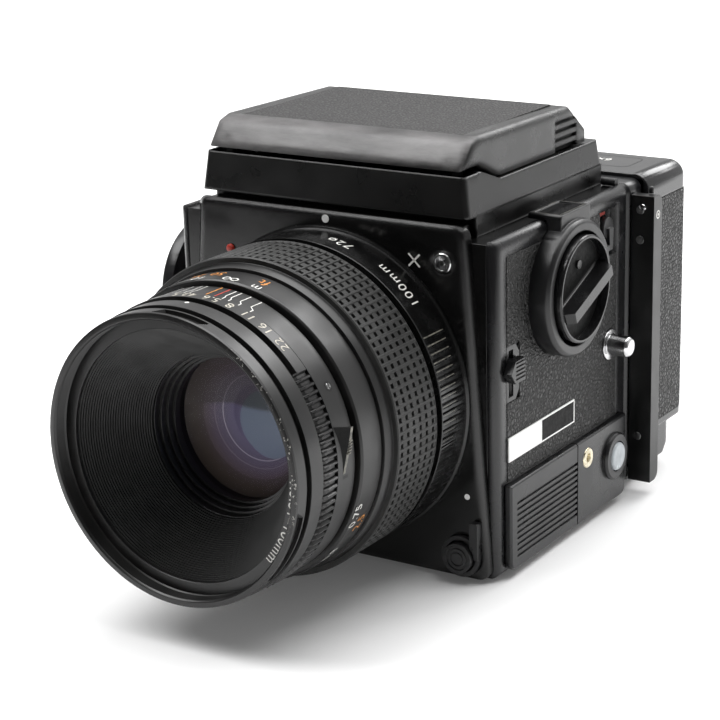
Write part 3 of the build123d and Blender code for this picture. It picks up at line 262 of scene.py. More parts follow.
def spread(tree, value, low, high, fromLow=0.3, fromHigh=0.7):
    return addNode(tree, "ShaderNodeMapRange", {"Value": value, "From Min": fromLow, "From Max": fromHigh,
                                                "To Min": low, "To Max": high}).outputs["Result"]


def multiply(tree, first, second):
    return addNode(tree, "ShaderNodeMath", {0: first, 1: second}, operation="MULTIPLY").outputs[0]


def blend(tree, amount, first, second):
    mix = addNode(tree, "ShaderNodeMix", data_type="RGBA")
    for socket, value in ((0, amount), (6, first), (7, second)):
        if isinstance(value, bpy.types.NodeSocket):
            tree.links.new(value, mix.inputs[socket])
        else:
            mix.inputs[socket].default_value = value
    return mix.outputs[2]


def bumped(tree, height, distance, softEdge=0.0):
    # distance is the depth of the texture in mm; softEdge is how far in mm an edge's roundness reaches
    bump = addNode(tree, "ShaderNodeBump", {"Height": height, "Distance": distance * mm})
    if softEdge:
        rounded = addNode(tree, "ShaderNodeBevel", {"Radius": softEdge * mm}, samples=8)
        tree.links.new(rounded.outputs[0], bump.inputs["Normal"])
    return bump


def wornSurface(name, values):
    # a coated surface: two tones that drift, a fine grain, and a roughness that varies with handling
    material, tree = newMaterial(name)
    place = texturePlace(tree)
    drift = grain(tree, place, values["drift"], 3.0)
    fine = grain(tree, place, values["grain"], 2.0)
    colour = blend(tree, spread(tree, drift, 0.0, 1.0), linearColour(values["dark"]),
                   linearColour(values["light"]))
    rough = spread(tree, drift, values["rough"] - values["vary"], values["rough"] + values["vary"])
    if "rub" in values:
        colour, rough = rubbed(tree, place, colour, rough, values["rub"])
    bump = bumped(tree, fine, values["depth"], values.get("softEdge", 0.0))
    shader = addNode(tree, "ShaderNodeBsdfPrincipled",
                     {"Base Color": colour, "Roughness": rough, "Normal": bump.outputs[0],
                      "IOR": values.get("ior", 1.5), "Metallic": values.get("metallic", 0.0),
                      "Specular IOR Level": values.get("specular", 0.5)})
    return finishMaterial(material, tree, shader)


def rubbed(tree, place, colour, rough, rub):
    # paler patches and fine streaks where hands and bags have rubbed, within a box given in mm
    stretched = addNode(tree, "ShaderNodeVectorMath", {0: place, 1: rub["stretch"]}, operation="MULTIPLY")
    patch = spread(tree, grain(tree, stretched.outputs[0], rub["size"], 5.0, 0.65), 0.0, 1.0, *rub["from"])
    amount = multiply(tree, patch, within(tree, place, rub["low"], rub["high"], rub["soft"]))
    if "facing" in rub:
        # only the side that looks that way is rubbed, not the inner side behind it
        outward = addNode(tree, "ShaderNodeTexCoord").outputs["Normal"]
        facing = addNode(tree, "ShaderNodeVectorMath", {0: outward, 1: rub["facing"]},
                         operation="DOT_PRODUCT")
        amount = multiply(tree, amount, spread(tree, facing.outputs["Value"], 0.0, 1.0, 0.5, 0.8))
    paler = blend(tree, amount, colour, linearColour(rub["colour"]))
    rougher = addNode(tree, "ShaderNodeMath", {0: amount, 1: rub["rougher"], 2: rough},
                      operation="MULTIPLY_ADD")
    return paler, rougher.outputs[0]


def within(tree, place, low, high, soft):
    # 1 inside the box and 0 outside it, falling off over soft mm; low and high are row frame corners in mm
    parts = addNode(tree, "ShaderNodeSeparateXYZ", {0: place})
    result = 1.0
    for axis in range(3):
        for edge, sign in ((low[axis], 1), (high[axis], -1)):
            ramp = addNode(tree, "ShaderNodeMapRange",
                           {"Value": parts.outputs[axis], "From Min": (edge - sign * soft / 2) * mm,
                            "From Max": (edge + sign * soft / 2) * mm})
            result = multiply(tree, ramp.outputs[0], result)
    return result


# dark and light are the two tones, drift and grain are widths in mm, and depth is the grain's height in mm;
# a real grain under a pixel's 0.2 mm is drawn at 0.12 to 0.6 mm, as coarse as it needs to show

# baked black lacquer on die cast alloy: deep, smooth, with sharp reflections and a faint orange peel
lacquer = {"dark": "#080808", "light": "#0d0d0d", "rough": 0.2, "vary": 0.06, "drift": 9.0, "grain": 1.6,
           "depth": 0.004}
blackLacquer = wornSurface("blackLacquer", lacquer)
# the same lacquer on the front plate, whose edges roll over broadly
plateLacquer = wornSurface("plateLacquer", {**lacquer, "softEdge": 3.0})
# satin black lacquer of the finder: smooth, a shade softer than the body's
satin = {"dark": "#0b0b0b", "light": "#100f0f", "rough": 0.3, "vary": 0.06, "drift": 12.0, "grain": 0.5,
         "depth": 0.006, "softEdge": 1.0}
satinLacquer = wornSurface("satinLacquer", satin)
# the lid has the same lacquer, hazed and streaked along its front slope by years of opening
rubbedLacquer = wornSurface("rubbedLacquer", {
    **satin, "light": "#121111", "drift": 10.0, "softEdge": 3.6,
    "rub": {"colour": "#6a6868", "size": 6.0, "stretch": (0.4, 1.0, 2.0), "from": (0.2, 0.68),
            "rougher": 0.1, "low": (-41.0, -40.0, 108.5), "high": (41.0, -26.5, 119.5), "soft": 3.0,
            "facing": (0.0, -0.8, 0.6)}})
# moulded black ABS: satin, slightly blue grey, with a fine spark eroded texture
mouldedAbs = wornSurface("mouldedAbs", {
    "dark": "#121213", "light": "#18181a", "rough": 0.3, "vary": 0.07, "drift": 11.0, "grain": 0.4,
    "depth": 0.006})
# the same plastic on the speed knob, polished by fingers to a soft gleam
polishedAbs = wornSurface("polishedAbs", {
    "dark": "#0f0f10", "light": "#161617", "rough": 0.22, "vary": 0.06, "drift": 9.0, "grain": 0.6,
    "depth": 0.004})
# the side covers' edges are rounded broadly, so that they gather light in a wide band
roundedAbs = wornSurface("roundedAbs", {
    "dark": "#111112", "light": "#18181a", "rough": 0.26, "vary": 0.05, "drift": 9.0, "grain": 0.6,
    "depth": 0.004, "softEdge": 3.0})
# the drum round the knob has lost some of its gloss
satinAbs = wornSurface("satinAbs", {
    "dark": "#111112", "light": "#171718", "rough": 0.38, "vary": 0.05, "drift": 9.0, "grain": 0.5,
    "depth": 0.005, "softEdge": 0.6})
# crinkle paint on the floor of the knob's cup, the bare plate and the lever: matt, swallows highlights
crinklePaint = wornSurface("crinklePaint", {
    "dark": "#050505", "light": "#0d0d0d", "rough": 0.6, "vary": 0.1, "drift": 1.2, "grain": 0.5,
    "depth": 0.05, "specular": 0.2})
# the film back's shell keeps its first gloss
glossyAbs = wornSurface("glossyAbs", {
    "dark": "#131314", "light": "#1a1a1b", "rough": 0.2, "vary": 0.04, "drift": 12.0, "grain": 0.6,
    "depth": 0.003, "ior": 1.62, "softEdge": 1.0})
# black anodised aluminium of the lens rings: silky, dark, faintly warm
anodised = {"dark": "#121212", "light": "#191818", "rough": 0.34, "vary": 0.05, "drift": 8.0, "grain": 0.3,
            "depth": 0.006}
anodisedAluminium = wornSurface("anodisedAluminium", anodised)
# the same finish on the rim, knocked through to bare metal at its front edge
chippedAluminium = wornSurface("chippedAluminium", {
    **anodised,
    "rub": {"colour": "#c3c1bb", "size": 0.8, "stretch": (1.0, 1.0, 1.0), "from": (0.6, 0.67),
            "rougher": -0.1, "low": (12.0, -113.0, 38.0), "high": (60.0, -111.95, 82.0), "soft": 0.3}})
# gloss black enamel on the fixed ring next to the body: nearly a mirror, with fine handling marks
glossEnamel = wornSurface("glossEnamel", {
    "dark": "#080808", "light": "#0e0e0e", "rough": 0.24, "vary": 0.07, "drift": 5.0, "grain": 0.8,
    "depth": 0.004})
# enamel worn through to grey metal along the ridges that hands turn; the same grey also serves as a painted
# highlight on the speed window's edges and on the lever's thumb edge
wornEdgeAndHighlight = wornSurface("wornEdgeAndHighlight", {
    "dark": "#2f2e2a", "light": "#827f75", "rough": 0.4, "vary": 0.1, "drift": 1.4, "grain": 0.4,
    "depth": 0.006})
# moulded rubber: dull, dusty in the hollows
mouldedRubber = wornSurface("mouldedRubber", {
    "dark": "#171716", "light": "#232322", "rough": 0.52, "vary": 0.08, "drift": 6.0, "grain": 0.3,
    "depth": 0.03})
# flat black light trap paint: swallows light, a little grey at grazing angles
flatBlackPaint = wornSurface("flatBlackPaint", {
    "dark": "#101010", "light": "#191918", "rough": 0.5, "vary": 0.08, "drift": 5.0, "grain": 0.2,
    "depth": 0.01, "specular": 0.4})
# black painted bar of the dark slide: even, satin
paintedBar = wornSurface("paintedBar", {
    "dark": "#080808", "light": "#0d0d0d", "rough": 0.33, "vary": 0.05, "drift": 7.0, "grain": 0.4,
    "depth": 0.006})
# chromed brass: bright with a soft blur
chromedBrass = wornSurface("chromedBrass", {
    "dark": "#b4b4b6", "light": "#d6d6d6", "rough": 0.14, "vary": 0.05, "drift": 3.0, "grain": 0.5,
    "depth": 0.003, "metallic": 1.0})
# pale plated brass of the cable socket, creamy rather than yellow
platedBrass = wornSurface("platedBrass", {
    "dark": "#c6bb9c", "light": "#ece4cf", "rough": 0.28, "vary": 0.08, "drift": 2.0, "grain": 0.3,
    "depth": 0.004, "metallic": 1.0})
# brushed steel of screws, blades and small fittings: grey, softly bright
brushedSteel = wornSurface("brushedSteel", {
    "dark": "#6f6f70", "light": "#9a9a99", "rough": 0.34, "vary": 0.08, "drift": 1.5, "grain": 0.12,
    "depth": 0.004, "metallic": 1.0})
# blackened steel: oil dark with metal under it
blackenedSteel = wornSurface("blackenedSteel", {
    "dark": "#141415", "light": "#262627", "rough": 0.34, "vary": 0.08, "drift": 4.0, "grain": 0.2,
    "depth": 0.006})
# milky grey acrylic of the check button: pale and even, with a soft gleam
milkyAcrylic = wornSurface("milkyAcrylic", {
    "dark": "#a4aaae", "light": "#b9bfc3", "rough": 0.24, "vary": 0.04, "drift": 3.0, "grain": 0.6,
    "depth": 0.003})
# filled enamel paints of the markings: slightly raised and worn, dull beside the metal
enamel = {"rough": 0.45, "vary": 0.08, "drift": 0.7, "grain": 0.15, "depth": 0.008}
whiteEnamel = wornSurface("whiteEnamel", {**enamel, "dark": "#c9c8c2", "light": "#efeeea"})
orangeEnamel = wornSurface("orangeEnamel", {**enamel, "dark": "#b87028", "light": "#e39a4a"})
redEnamel = wornSurface("redEnamel", {**enamel, "dark": "#8e2a1e", "light": "#c0382a", "rough": 0.4})
# the stops' white has yellowed and lost its gloss
agedEnamel = wornSurface("agedEnamel", {
    **enamel, "dark": "#8f8a7e", "light": "#d8d3c6", "rough": 0.5, "drift": 0.6})
# screen printed white of the side plate, clean and slightly glossy
plateWhite = wornSurface("plateWhite", {
    "dark": "#efefed", "light": "#f6f6f4", "rough": 0.3, "vary": 0.04, "drift": 8.0, "grain": 0.6,
    "depth": 0.001})
# front silvered glass of the mirror: a clean, bright, faintly cool reflection
silveredGlass = wornSurface("silveredGlass", {
    "dark": "#d8dadb", "light": "#e4e6e6", "rough": 0.03, "vary": 0.01, "drift": 20.0, "grain": 3.0,
    "depth": 0.0005, "metallic": 1.0})
# ground glass of the focusing screen: an even, milky grey that hides what is under it
groundGlass = wornSurface("groundGlass", {
    "dark": "#8f948f", "light": "#a5aaa5", "rough": 0.6, "vary": 0.05, "drift": 20.0, "grain": 0.15,
    "depth": 0.01})
# dark tinted pane over the speed window: black, with a clean gleam
tintedPane = wornSurface("tintedPane", {
    "dark": "#0d0d0e", "light": "#151516", "rough": 0.08, "vary": 0.03, "drift": 6.0, "grain": 2.0,
    "depth": 0.001})


def makeLeatherette(name, values):
    # embossed vinyl: rounded pebbles of uneven size with thin creases between, glossy on top, dull between;
    # the creases carry painted shade and the tops painted light
    material, tree = newMaterial(name)
    place = texturePlace(tree)
    pebble = values["pebble"] * mm
    warp = addNode(tree, "ShaderNodeTexNoise", {"Vector": place, "Scale": 1.0 / (pebble * 1.6),
                                                "Detail": 2.0})
    moved = addNode(tree, "ShaderNodeVectorMath", {0: warp.outputs["Color"], "Scale": pebble * 0.7},
                    operation="SCALE")
    shifted = addNode(tree, "ShaderNodeVectorMath", {0: place, 1: moved.outputs[0]}, operation="ADD")
    pebbles = addNode(tree, "ShaderNodeTexVoronoi", {"Vector": shifted.outputs[0], "Scale": 1.0 / pebble},
                      feature="DISTANCE_TO_EDGE")
    top = addNode(tree, "ShaderNodeMapRange", {"Value": pebbles.outputs["Distance"], "From Min": 0.0,
                                               "From Max": values["round"]}, interpolation_type="SMOOTHSTEP")
    swell = spread(tree, grain(tree, place, values["pebble"] * 1.3, 1.0), 0.0, 0.9)
    height = addNode(tree, "ShaderNodeMath", {0: top.outputs[0], 1: swell}, operation="ADD")
    # painted shade in the creases and painted light on the pebble tops
    colour = blend(tree, top.outputs[0], linearColour(values["shadedCrease"]), linearColour(values["top"]))
    bump = bumped(tree, height.outputs[0], values["depth"])
    rough = spread(tree, top.outputs[0], values["creaseRough"], values["rough"], 0.0, 1.0)
    shader = addNode(tree, "ShaderNodeBsdfPrincipled",
                     {"Base Color": colour, "Roughness": rough, "Normal": bump.outputs[0], "IOR": 1.5})
    return finishMaterial(material, tree, shader)


# pebbled vinyl of the body's panels: each pebble catches its own small highlight
pebbledVinyl = makeLeatherette("pebbledVinyl", {
    "pebble": 1.25, "round": 0.32, "depth": 0.26, "rough": 0.34, "shadedCrease": "#0b0b0b", "top": "#1f1f1e",
    "creaseRough": 0.65})
# the covering of the lid has a finer, flatter grain
fineVinyl = makeLeatherette("fineVinyl", {
    "pebble": 1.05, "round": 0.32, "depth": 0.09, "rough": 0.42, "shadedCrease": "#111010", "top": "#211f1f",
    "creaseRough": 0.65})


def makeGlass(name, values):
    # polished glass, thin enough to be seen straight through: clear where it faces the eye, bright where it
    # mirrors
    material, tree = newMaterial(name)
    shader = addNode(tree, "ShaderNodeBsdfPrincipled",
                     {"Base Color": linearColour(values["body"]), "Roughness": values["rough"],
                      "IOR": values["ior"], "Alpha": values["alpha"],
                      "Specular Tint": linearColour(values["tint"])})
    return finishMaterial(material, tree, shader)


# crown glass with a magenta and blue film: the film mirrors more than bare glass, so its index is set high
frontCoating = makeGlass("frontCoating", {
    "body": "#0c0a12", "tint": "#b9b0e8", "rough": 0.24, "ior": 1.7, "alpha": 0.12})
# plain pane of the magnifier: hardly seen but for its gleam
clearPane = makeGlass("clearPane", {
    "body": "#20262a", "tint": "#ffffff", "rough": 0.08, "ior": 1.8, "alpha": 0.3})


def makeInnerCoating(name, values):
    # what is seen inside the lens, painted as reflection: rings of colour standing for the reflections that
    # the films of several elements give, with fine painted highlight lines, and a pale painted reflection of
    # the room on the element at the foot
    material, tree = newMaterial(name)
    parts = addNode(tree, "ShaderNodeSeparateXYZ", {0: texturePlace(tree)})

    def fromAxis(x, z):
        flat = addNode(tree, "ShaderNodeCombineXYZ", {"X": parts.outputs["X"], "Y": 0.0,
                                                      "Z": parts.outputs["Z"]})
        offset = addNode(tree, "ShaderNodeVectorMath",
                         {0: flat.outputs[0], 1: (-x * mm, 0.0, -lensHeight - z * mm)}, operation="ADD")
        length = addNode(tree, "ShaderNodeVectorMath", {0: offset.outputs[0]}, operation="LENGTH")
        return length.outputs["Value"]

    share = addNode(tree, "ShaderNodeMapRange", {"Value": fromAxis(0.0, 0.0), "From Min": 0.0,
                                                 "From Max": values["reach"] * mm})
    ramp = addNode(tree, "ShaderNodeValToRGB", {"Fac": share.outputs[0]})
    stops = ramp.color_ramp.elements
    while len(stops) < len(values["zones"]):
        stops.new(0.5)
    for stop, (r, hexCode) in zip(stops, values["zones"]):
        stop.position = r / values["reach"]
        stop.color = linearColour(hexCode)
    # painted reflection: above the turn the rings are browner, as the darker half of the room shows there in
    # reflection
    turn = lensHeight + values["turn"] * mm
    upper = spread(tree, parts.outputs["Z"], 0.0, 1.0, turn, turn + values["turnWidth"] * mm)
    rings = blend(tree, upper, ramp.outputs["Color"], linearColour(values["upper"]))
    rings = blend(tree, multiply(tree, upper, values["upperShare"]), ramp.outputs["Color"], rings)
    x, z, r = values["roomReflection"]
    disk = spread(tree, fromAxis(x, z), 1.0, 0.0, (r - 0.12) * mm, (r + 0.12) * mm)
    roomReflectionColour = blend(tree, upper, linearColour(values["roomReflectionLow"]), linearColour(values["roomReflectionHigh"]))
    colour = blend(tree, disk, rings, roomReflectionColour)
    # the same colour is given again as emission, so this surface glows: painted light inside the lens
    shader = addNode(tree, "ShaderNodeBsdfPrincipled",
                     {"Base Color": colour, "Roughness": values["rough"], "IOR": 1.6,
                      "Emission Color": colour, "Emission Strength": values["glow"]})
    return finishMaterial(material, tree, shader)


# zones are a radius in mm and a colour, all painted reflection; the x, z and radius of the pale disc place
# the painted reflection of the room on the element at the foot
paintedInnerReflection = makeInnerCoating("paintedInnerReflection", {
    "reach": 21.0, "rough": 0.5, "glow": 0.85, "roomReflection": (2.6, -1.6, 9.2), "roomReflectionLow": "#505965",
    "roomReflectionHigh": "#303536", "turn": 1.5, "turnWidth": 1.2, "upper": "#292422", "upperShare": 0.75,
    "zones": ((0.0, "#413d52"), (9.4, "#443f52"), (11.6, "#403b4a"), (11.75, "#847f86"), (11.95, "#403a48"),
              (13.5, "#403945"), (13.6, "#605a60"), (13.75, "#3f3742"), (15.8, "#3b3236"), (16.1, "#2f2828"),
              (17.6, "#29231f"), (19.0, "#201b18"), (20.6, "#0d0b0a"))})
print("materials ready")


# the CAD pieces that keep their own shape get eased edges and a finish

easing = {"weld": 1e-6, "flat": 0.6, "segments": 2, "corner": 38.0}  # metres, degrees, steps and degrees


def dress(node, material, ease):
    obj = nodes[node]
    obj.data.materials.clear()
    obj.data.materials.append(material)
    if ease:
        weld = obj.modifiers.new("weld", "WELD")
        weld.merge_threshold = easing["weld"]
        dissolve = obj.modifiers.new("dissolve", "DECIMATE")
        dissolve.decimate_type = "DISSOLVE"
        dissolve.angle_limit = radians(easing["flat"])
        bevel = obj.modifiers.new("ease", "BEVEL")
        bevel.width = ease * mm
        bevel.segments = easing["segments"]
        bevel.limit_method = "ANGLE"
        bevel.angle_limit = radians(easing["corner"])
        bevel.use_clamp_overlap = True
        bevel.harden_normals = True


# each node's finish, and the width in mm of its eased edges
bodyFinish = {
    "casing": (blackLacquer, 0.2), "front_plate": (plateLacquer, 0.3),
    "right_side_cover": (roundedAbs, 0.35), "left_side_cover": (roundedAbs, 0.35),
    "right_leatherette": (pebbledVinyl, 0.12), "left_leatherette": (pebbledVinyl, 0.12),
    "base_plate": (blackLacquer, 0.2), "tripod_bush": (brushedSteel, 0.1), "battery": (chromedBrass, 0.2),
    "battery_door": (mouldedAbs, 0.2), "lower_side_cover": (mouldedAbs, 0.25),
    "cable_socket": (platedBrass, 0.1), "check_button": (milkyAcrylic, 0.3),
    "slot_slider": (mouldedAbs, 0.12), "slider_frame": (mouldedAbs, 0.08),
    "back_latch": (blackenedSteel, 0.2), "strap_lugs": (chromedBrass, 0.2),
    "badge_plate": (plateWhite, 0.08), "knob_housing": (satinAbs, 0.3), "speed_window": (tintedPane, 0.0),
    "shutter_speed_knob": (polishedAbs, 0.22), "shutter_button": (blackenedSteel, 0.12),
    "shutter_lock": (blackenedSteel, 0.15), "sync_socket": (chromedBrass, 0.08),
    "index_dots": (plateWhite, 0.0), "advance_crank": (mouldedAbs, 0.3),
    "crank_handle": (blackenedSteel, 0.25), "lens_mount": (chromedBrass, 0.15),
    "mirror_frame": (flatBlackPaint, 0.1), "mirror_glass": (silveredGlass, 0.0),
    "light_baffle": (flatBlackPaint, 0.1), "focusing_screen": (groundGlass, 0.0),
    "finder_frame": (satinLacquer, 0.15), "finder_lid": (rubbedLacquer, 0.15),
    "lid_leatherette": (fineVinyl, 0.15), "right_hood_flap": (flatBlackPaint, 0.1),
    "left_hood_flap": (flatBlackPaint, 0.1), "rear_hood_flap": (flatBlackPaint, 0.1),
    "magnifier_frame": (flatBlackPaint, 0.15), "magnifier_lens": (clearPane, 0.0),
    "back_frame": (mouldedAbs, 0.25), "film_insert": (mouldedAbs, 0.1), "supply_spool": (mouldedAbs, 0.1),
    "take_up_spool": (mouldedAbs, 0.1), "back_cover": (glossyAbs, 0.35),
    "back_leatherette": (pebbledVinyl, 0.12), "dark_slide": (brushedSteel, 0.0),
    "dark_slide_handle": (paintedBar, 0.3), "dark_slide_screws": (brushedSteel, 0.12),
    "lens_barrel": (anodisedAluminium, 0.0), "iris": (blackenedSteel, 0.0),
    "rear_glass": (frontCoating, 0.0),
}
for node, (material, ease) in bodyFinish.items():
    dress(node, material, ease)
print("body dressed")


# the lens, turned from fine outlines in mm of radius and depth ahead of the body

turnSteps = {"plain": 256, "slotted": 720, "waffle": 1200, "ribbed": 1440}  # how many round each ring
cornerEase = 0.18


def onArc(angle, start, arc):
    # how far clockwise from the start the angle lies, in degrees, or None beyond the arc
    along = (start - angle) % 360.0
    return along if along <= arc else None


rearRing = {"radius": 43.3, "front": -13.6, "ribPitch": 3.1, "ribStart": 30.0, "ribArc": 240.0,
            "ribDepth": 0.5, "ribShare": 0.36, "flank": 0.12, "ribFrom": -13.2, "ribTo": -1.6, "runOut": 5.5,
            "step": 0.04, "between": (-9.0, -4.0), "slack": 0.1, "ease": 0.25}


def rearRibs(angle, radius, depth):
    # narrow ridges along the lens, left standing between wide flat flutes
    values = rearRing
    along = onArc(angle, values["ribStart"], values["ribArc"])
    onRing = radius >= values["radius"] - values["slack"] and values["ribFrom"] < depth < values["ribTo"]
    if along is None or not onRing:
        return 0.0
    phase = (along / values["ribPitch"]) % 1.0
    edge = (phase - values["ribShare"]) / values["flank"]
    fall = min(1.0, max(0.0, edge), max(0.0, (1.0 - phase) / values["flank"]))
    return -values["ribDepth"] * fall * min(1.0, (values["ribTo"] - depth) / values["runOut"])


def rearOutline(values):
    ring, front = values["radius"], values["front"]
    profile = easeCorners([(35.2, -46.0), (37.0, -46.0), (37.0, front), (ring, front), (ring, -1.1),
                           (44.0, -0.9), (44.0, 0.0), (32.6, 0.0), (32.6, 5.0), (29.6, 5.0), (29.6, -1.6),
                           (35.2, -3.6)], values["ease"])
    # more points where the ribs end square in front and where they fade out at the rear
    rows = (values["ribFrom"] - values["step"], values["ribFrom"] + values["step"],
            values["ribTo"] - values["runOut"], values["ribTo"])
    corner = next(i for i, p in enumerate(profile) if p[0] == ring and p[1] > front)
    profile[corner + 1:corner + 1] = [(ring, depth) for depth in sorted(rows + values["between"])]
    return profile


ring = rearRing["radius"]
lensRear = turnedObject("lensRearBarrel", rearOutline(rearRing), glossEnamel, turnSteps["ribbed"],
                        shift=rearRibs)
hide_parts("lens_rear_barrel")
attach(lensRear, "camera_body")

# the first ridge is the most worn, and each one after it a little less
ribWear = {"count": 13, "width": 0.34, "rear": -3.5, "step": 0.35, "front": -13.0}
for i in range(ribWear["count"]):
    width = ribWear["width"] * (1 - i / (ribWear["count"] + 2))
    rear = ribWear["rear"] - ribWear["step"] * i
    middle = rearRing["ribStart"] - rearRing["ribPitch"] * (i + rearRing["ribShare"] / 2)
    paintOn("ribWear" + str(i), [strokes([[(0.0, -rear), (0.0, -ribWear["front"])]], width)],
            ringPlace(ring, middle, 0.0), wornEdgeAndHighlight, "camera_body")

grip = {"rows": 120, "cells": 6, "outer": 43.2, "bed": 41.7, "rear": -15.8, "front": -34.8, "corner": 0.3,
        "groove": 0.22, "pit": 1.15, "ridgeShare": 0.3, "edge": 0.5, "steps": 78, "pitLow": 0.36,
        "pitHigh": 0.66, "pitAcross": (0.34, 0.88), "slack": 0.05}


def waffle(angle, radius, depth):
    # a thin ridge along the lens, then a row of blocks with a pit between each two
    rear, front = grip["rear"] - grip["edge"], grip["front"] + grip["edge"]
    if radius < grip["outer"] - grip["slack"] or not front < depth < rear:
        return 0.0
    across = (angle * grip["rows"] / 360.0) % 1.0
    if across < grip["ridgeShare"]:
        return 0.0
    along = (depth - front) / (rear - front) * grip["cells"]
    inPit = grip["pitLow"] < along % 1.0 < grip["pitHigh"]
    if inPit and grip["pitAcross"][0] < across < grip["pitAcross"][1]:
        return -grip["pit"]
    return -grip["groove"]


def gripOutline(values):
    outer, bed, corner, steps = (values[key] for key in ("outer", "bed", "corner", "steps"))
    first = values["front"] + values["edge"] - values["slack"]
    last = values["rear"] - values["edge"] + values["slack"]
    profile = [(bed, values["rear"]), (bed, values["front"]), (outer - corner, values["front"]),
               (outer, values["front"] + corner)]
    profile += [(outer, first + (last - first) * i / steps) for i in range(steps + 1)]
    return profile + [(outer, values["rear"] - corner), (outer - corner, values["rear"])]


gripSleeve = turnedObject("rubberGrip", gripOutline(grip), mouldedRubber, turnSteps["waffle"], shift=waffle)
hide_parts("focus_grip")
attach(gripSleeve, "focus")

# the lip ahead of the rubber, a dark gap, and the ring that carries the distances
distance = {"bore": 37.06, "tail": -14.0, "lip": 41.6, "lipRear": -34.9, "lipEnd": 40.9, "lipFront": -37.6,
            "gap": 39.9, "radius": 40.2, "rear": -38.1, "front": -46.9, "chamfer": 0.5}


def focusOutline(values):
    bore, gap, radius, front = (values[key] for key in ("bore", "gap", "radius", "front"))
    return easeCorners([(bore, values["tail"]), (grip["bed"], values["tail"]), (grip["bed"], grip["front"]),
                        (values["lip"], values["lipRear"]), (values["lipEnd"], values["lipFront"]),
                        (gap, values["lipFront"]), (gap, values["rear"]), (radius, values["rear"]),
                        (radius, front + values["chamfer"]), (radius - values["chamfer"], front),
                        (bore, front)], cornerEase)


focusBody = turnedObject("focusRing", focusOutline(distance), anodisedAluminium, turnSteps["plain"])
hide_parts("focus_ring")
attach(focusBody, "focus")

# one barrel carries the depth scale, the bed of the aperture ring and the band behind the rim
depthScale = {"radius": 38.7, "rear": -48.0, "front": -55.5}
frontBand = {"radius": 38.4, "rear": -61.4, "front": -66.5, "groove": 37.0, "end": -67.3}


def barrelOutline(scale, band):
    # the inside is stepped for the glass and the iris
    return easeCorners([(34.2, band["end"]), (band["groove"], band["end"]), (band["groove"], band["front"]),
                        (band["radius"], band["front"]), (band["radius"], band["rear"]),
                        (36.0, band["rear"]), (36.0, scale["front"]), (scale["radius"], scale["front"]),
                        (scale["radius"], scale["rear"]), (34.9, scale["rear"]), (34.9, -3.6),
                        (28.8, -1.6), (28.8, 4.0), (22.0, 4.0), (22.0, -26.0), (26.0, -26.0),
                        (26.0, -36.0), (21.8, -36.0), (21.8, -50.4), (34.2, -50.4)], cornerEase)


barrel = turnedObject("lensBarrel", barrelOutline(depthScale, frontBand), anodisedAluminium,
                      turnSteps["plain"])
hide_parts("lens_barrel")
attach(barrel, "lens_unit")

apertureRing = {"radius": 38.9, "bore": 36.06, "rear": -55.7, "edge": -59.7, "front": -61.2,
                "frontRadius": 38.5, "chamfer": 0.3, "ease": 0.2, "nick": 0.1, "pitch": 3.0, "ribStart": 38.5,
                "ribArc": 224.0, "ribDepth": 0.85, "ribSteep": 5.0, "ribFlat": 0.6, "cutBack": 1.5,
                "slack": 0.05}


def apertureRibs(angle, radius, depth):
    # rounded finger ribs along the lens; the arc with the figures is cut back in front instead
    values = apertureRing
    if radius < values["frontRadius"] - values["chamfer"] - values["slack"]:
        return 0.0
    along = onArc(angle, values["ribStart"], values["ribArc"])
    if along is None:
        return -values["cutBack"] if depth < values["edge"] - values["slack"] else 0.0
    fromMiddle = abs((along / values["pitch"]) % 1.0 - 0.5)
    rise = (0.5 - fromMiddle) * values["ribSteep"] - values["ribFlat"]
    return -values["ribDepth"] * min(1.0, max(0.0, rise))


def apertureOutline(values):
    outer, nose, ease = values["radius"], values["frontRadius"], values["ease"]
    return [(values["bore"], values["front"]), (nose - values["chamfer"], values["front"]),
            (nose, values["front"] + ease), (outer - values["nick"], values["edge"] - values["nick"]),
            (outer, values["edge"]), (outer, values["edge"] + ease), (outer, values["rear"] - ease),
            (outer - ease, values["rear"]), (values["bore"], values["rear"])]


apertureBand = turnedObject("apertureRing", apertureOutline(apertureRing), anodisedAluminium,
                            turnSteps["ribbed"], shift=apertureRibs)
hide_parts("aperture_ring")
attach(apertureBand, "aperture")

# slots are a middle angle and half a width in degrees; crest and root are the thread's radii
rim = {"radius": 38.0, "rear": -67.9, "mouth": 32.8, "bed": -68.1, "back": -67.3, "bore": 37.05,
       "slots": ((82.0, 10.0), (-29.0, 16.0), (205.0, 12.0)), "slotDepth": 1.0, "slotFront": -71.5,
       "slotRear": -68.7, "slotRows": 6, "slant": 0.9, "threadRear": -68.3, "threadFront": -71.4,
       "threadPitch": 0.38, "crest": 36.0, "root": 36.3,
       "lip": [(36.5, -72.3), (37.6, -72.3), (37.85, -72.15), (37.9, -71.9)], "lipInside": (36.2, -72.1),
       "ease": 0.2, "nick": 0.1, "slack": 0.05}


def rimSlots(angle, radius, depth):
    # three long notches that a hood would turn into, their ends cut on a slant
    front, rear = rim["slotFront"] - rim["slack"] / 2, rim["slotRear"] + rim["slack"] / 2
    if radius < rim["radius"] - rim["slack"] or not front < depth < rear:
        return 0.0
    lean = rim["slant"] * (depth - rim["slotRear"])
    for middle, half in rim["slots"]:
        if abs((angle - middle + lean + 180) % 360 - 180) < half:
            return -rim["slotDepth"]
    return 0.0


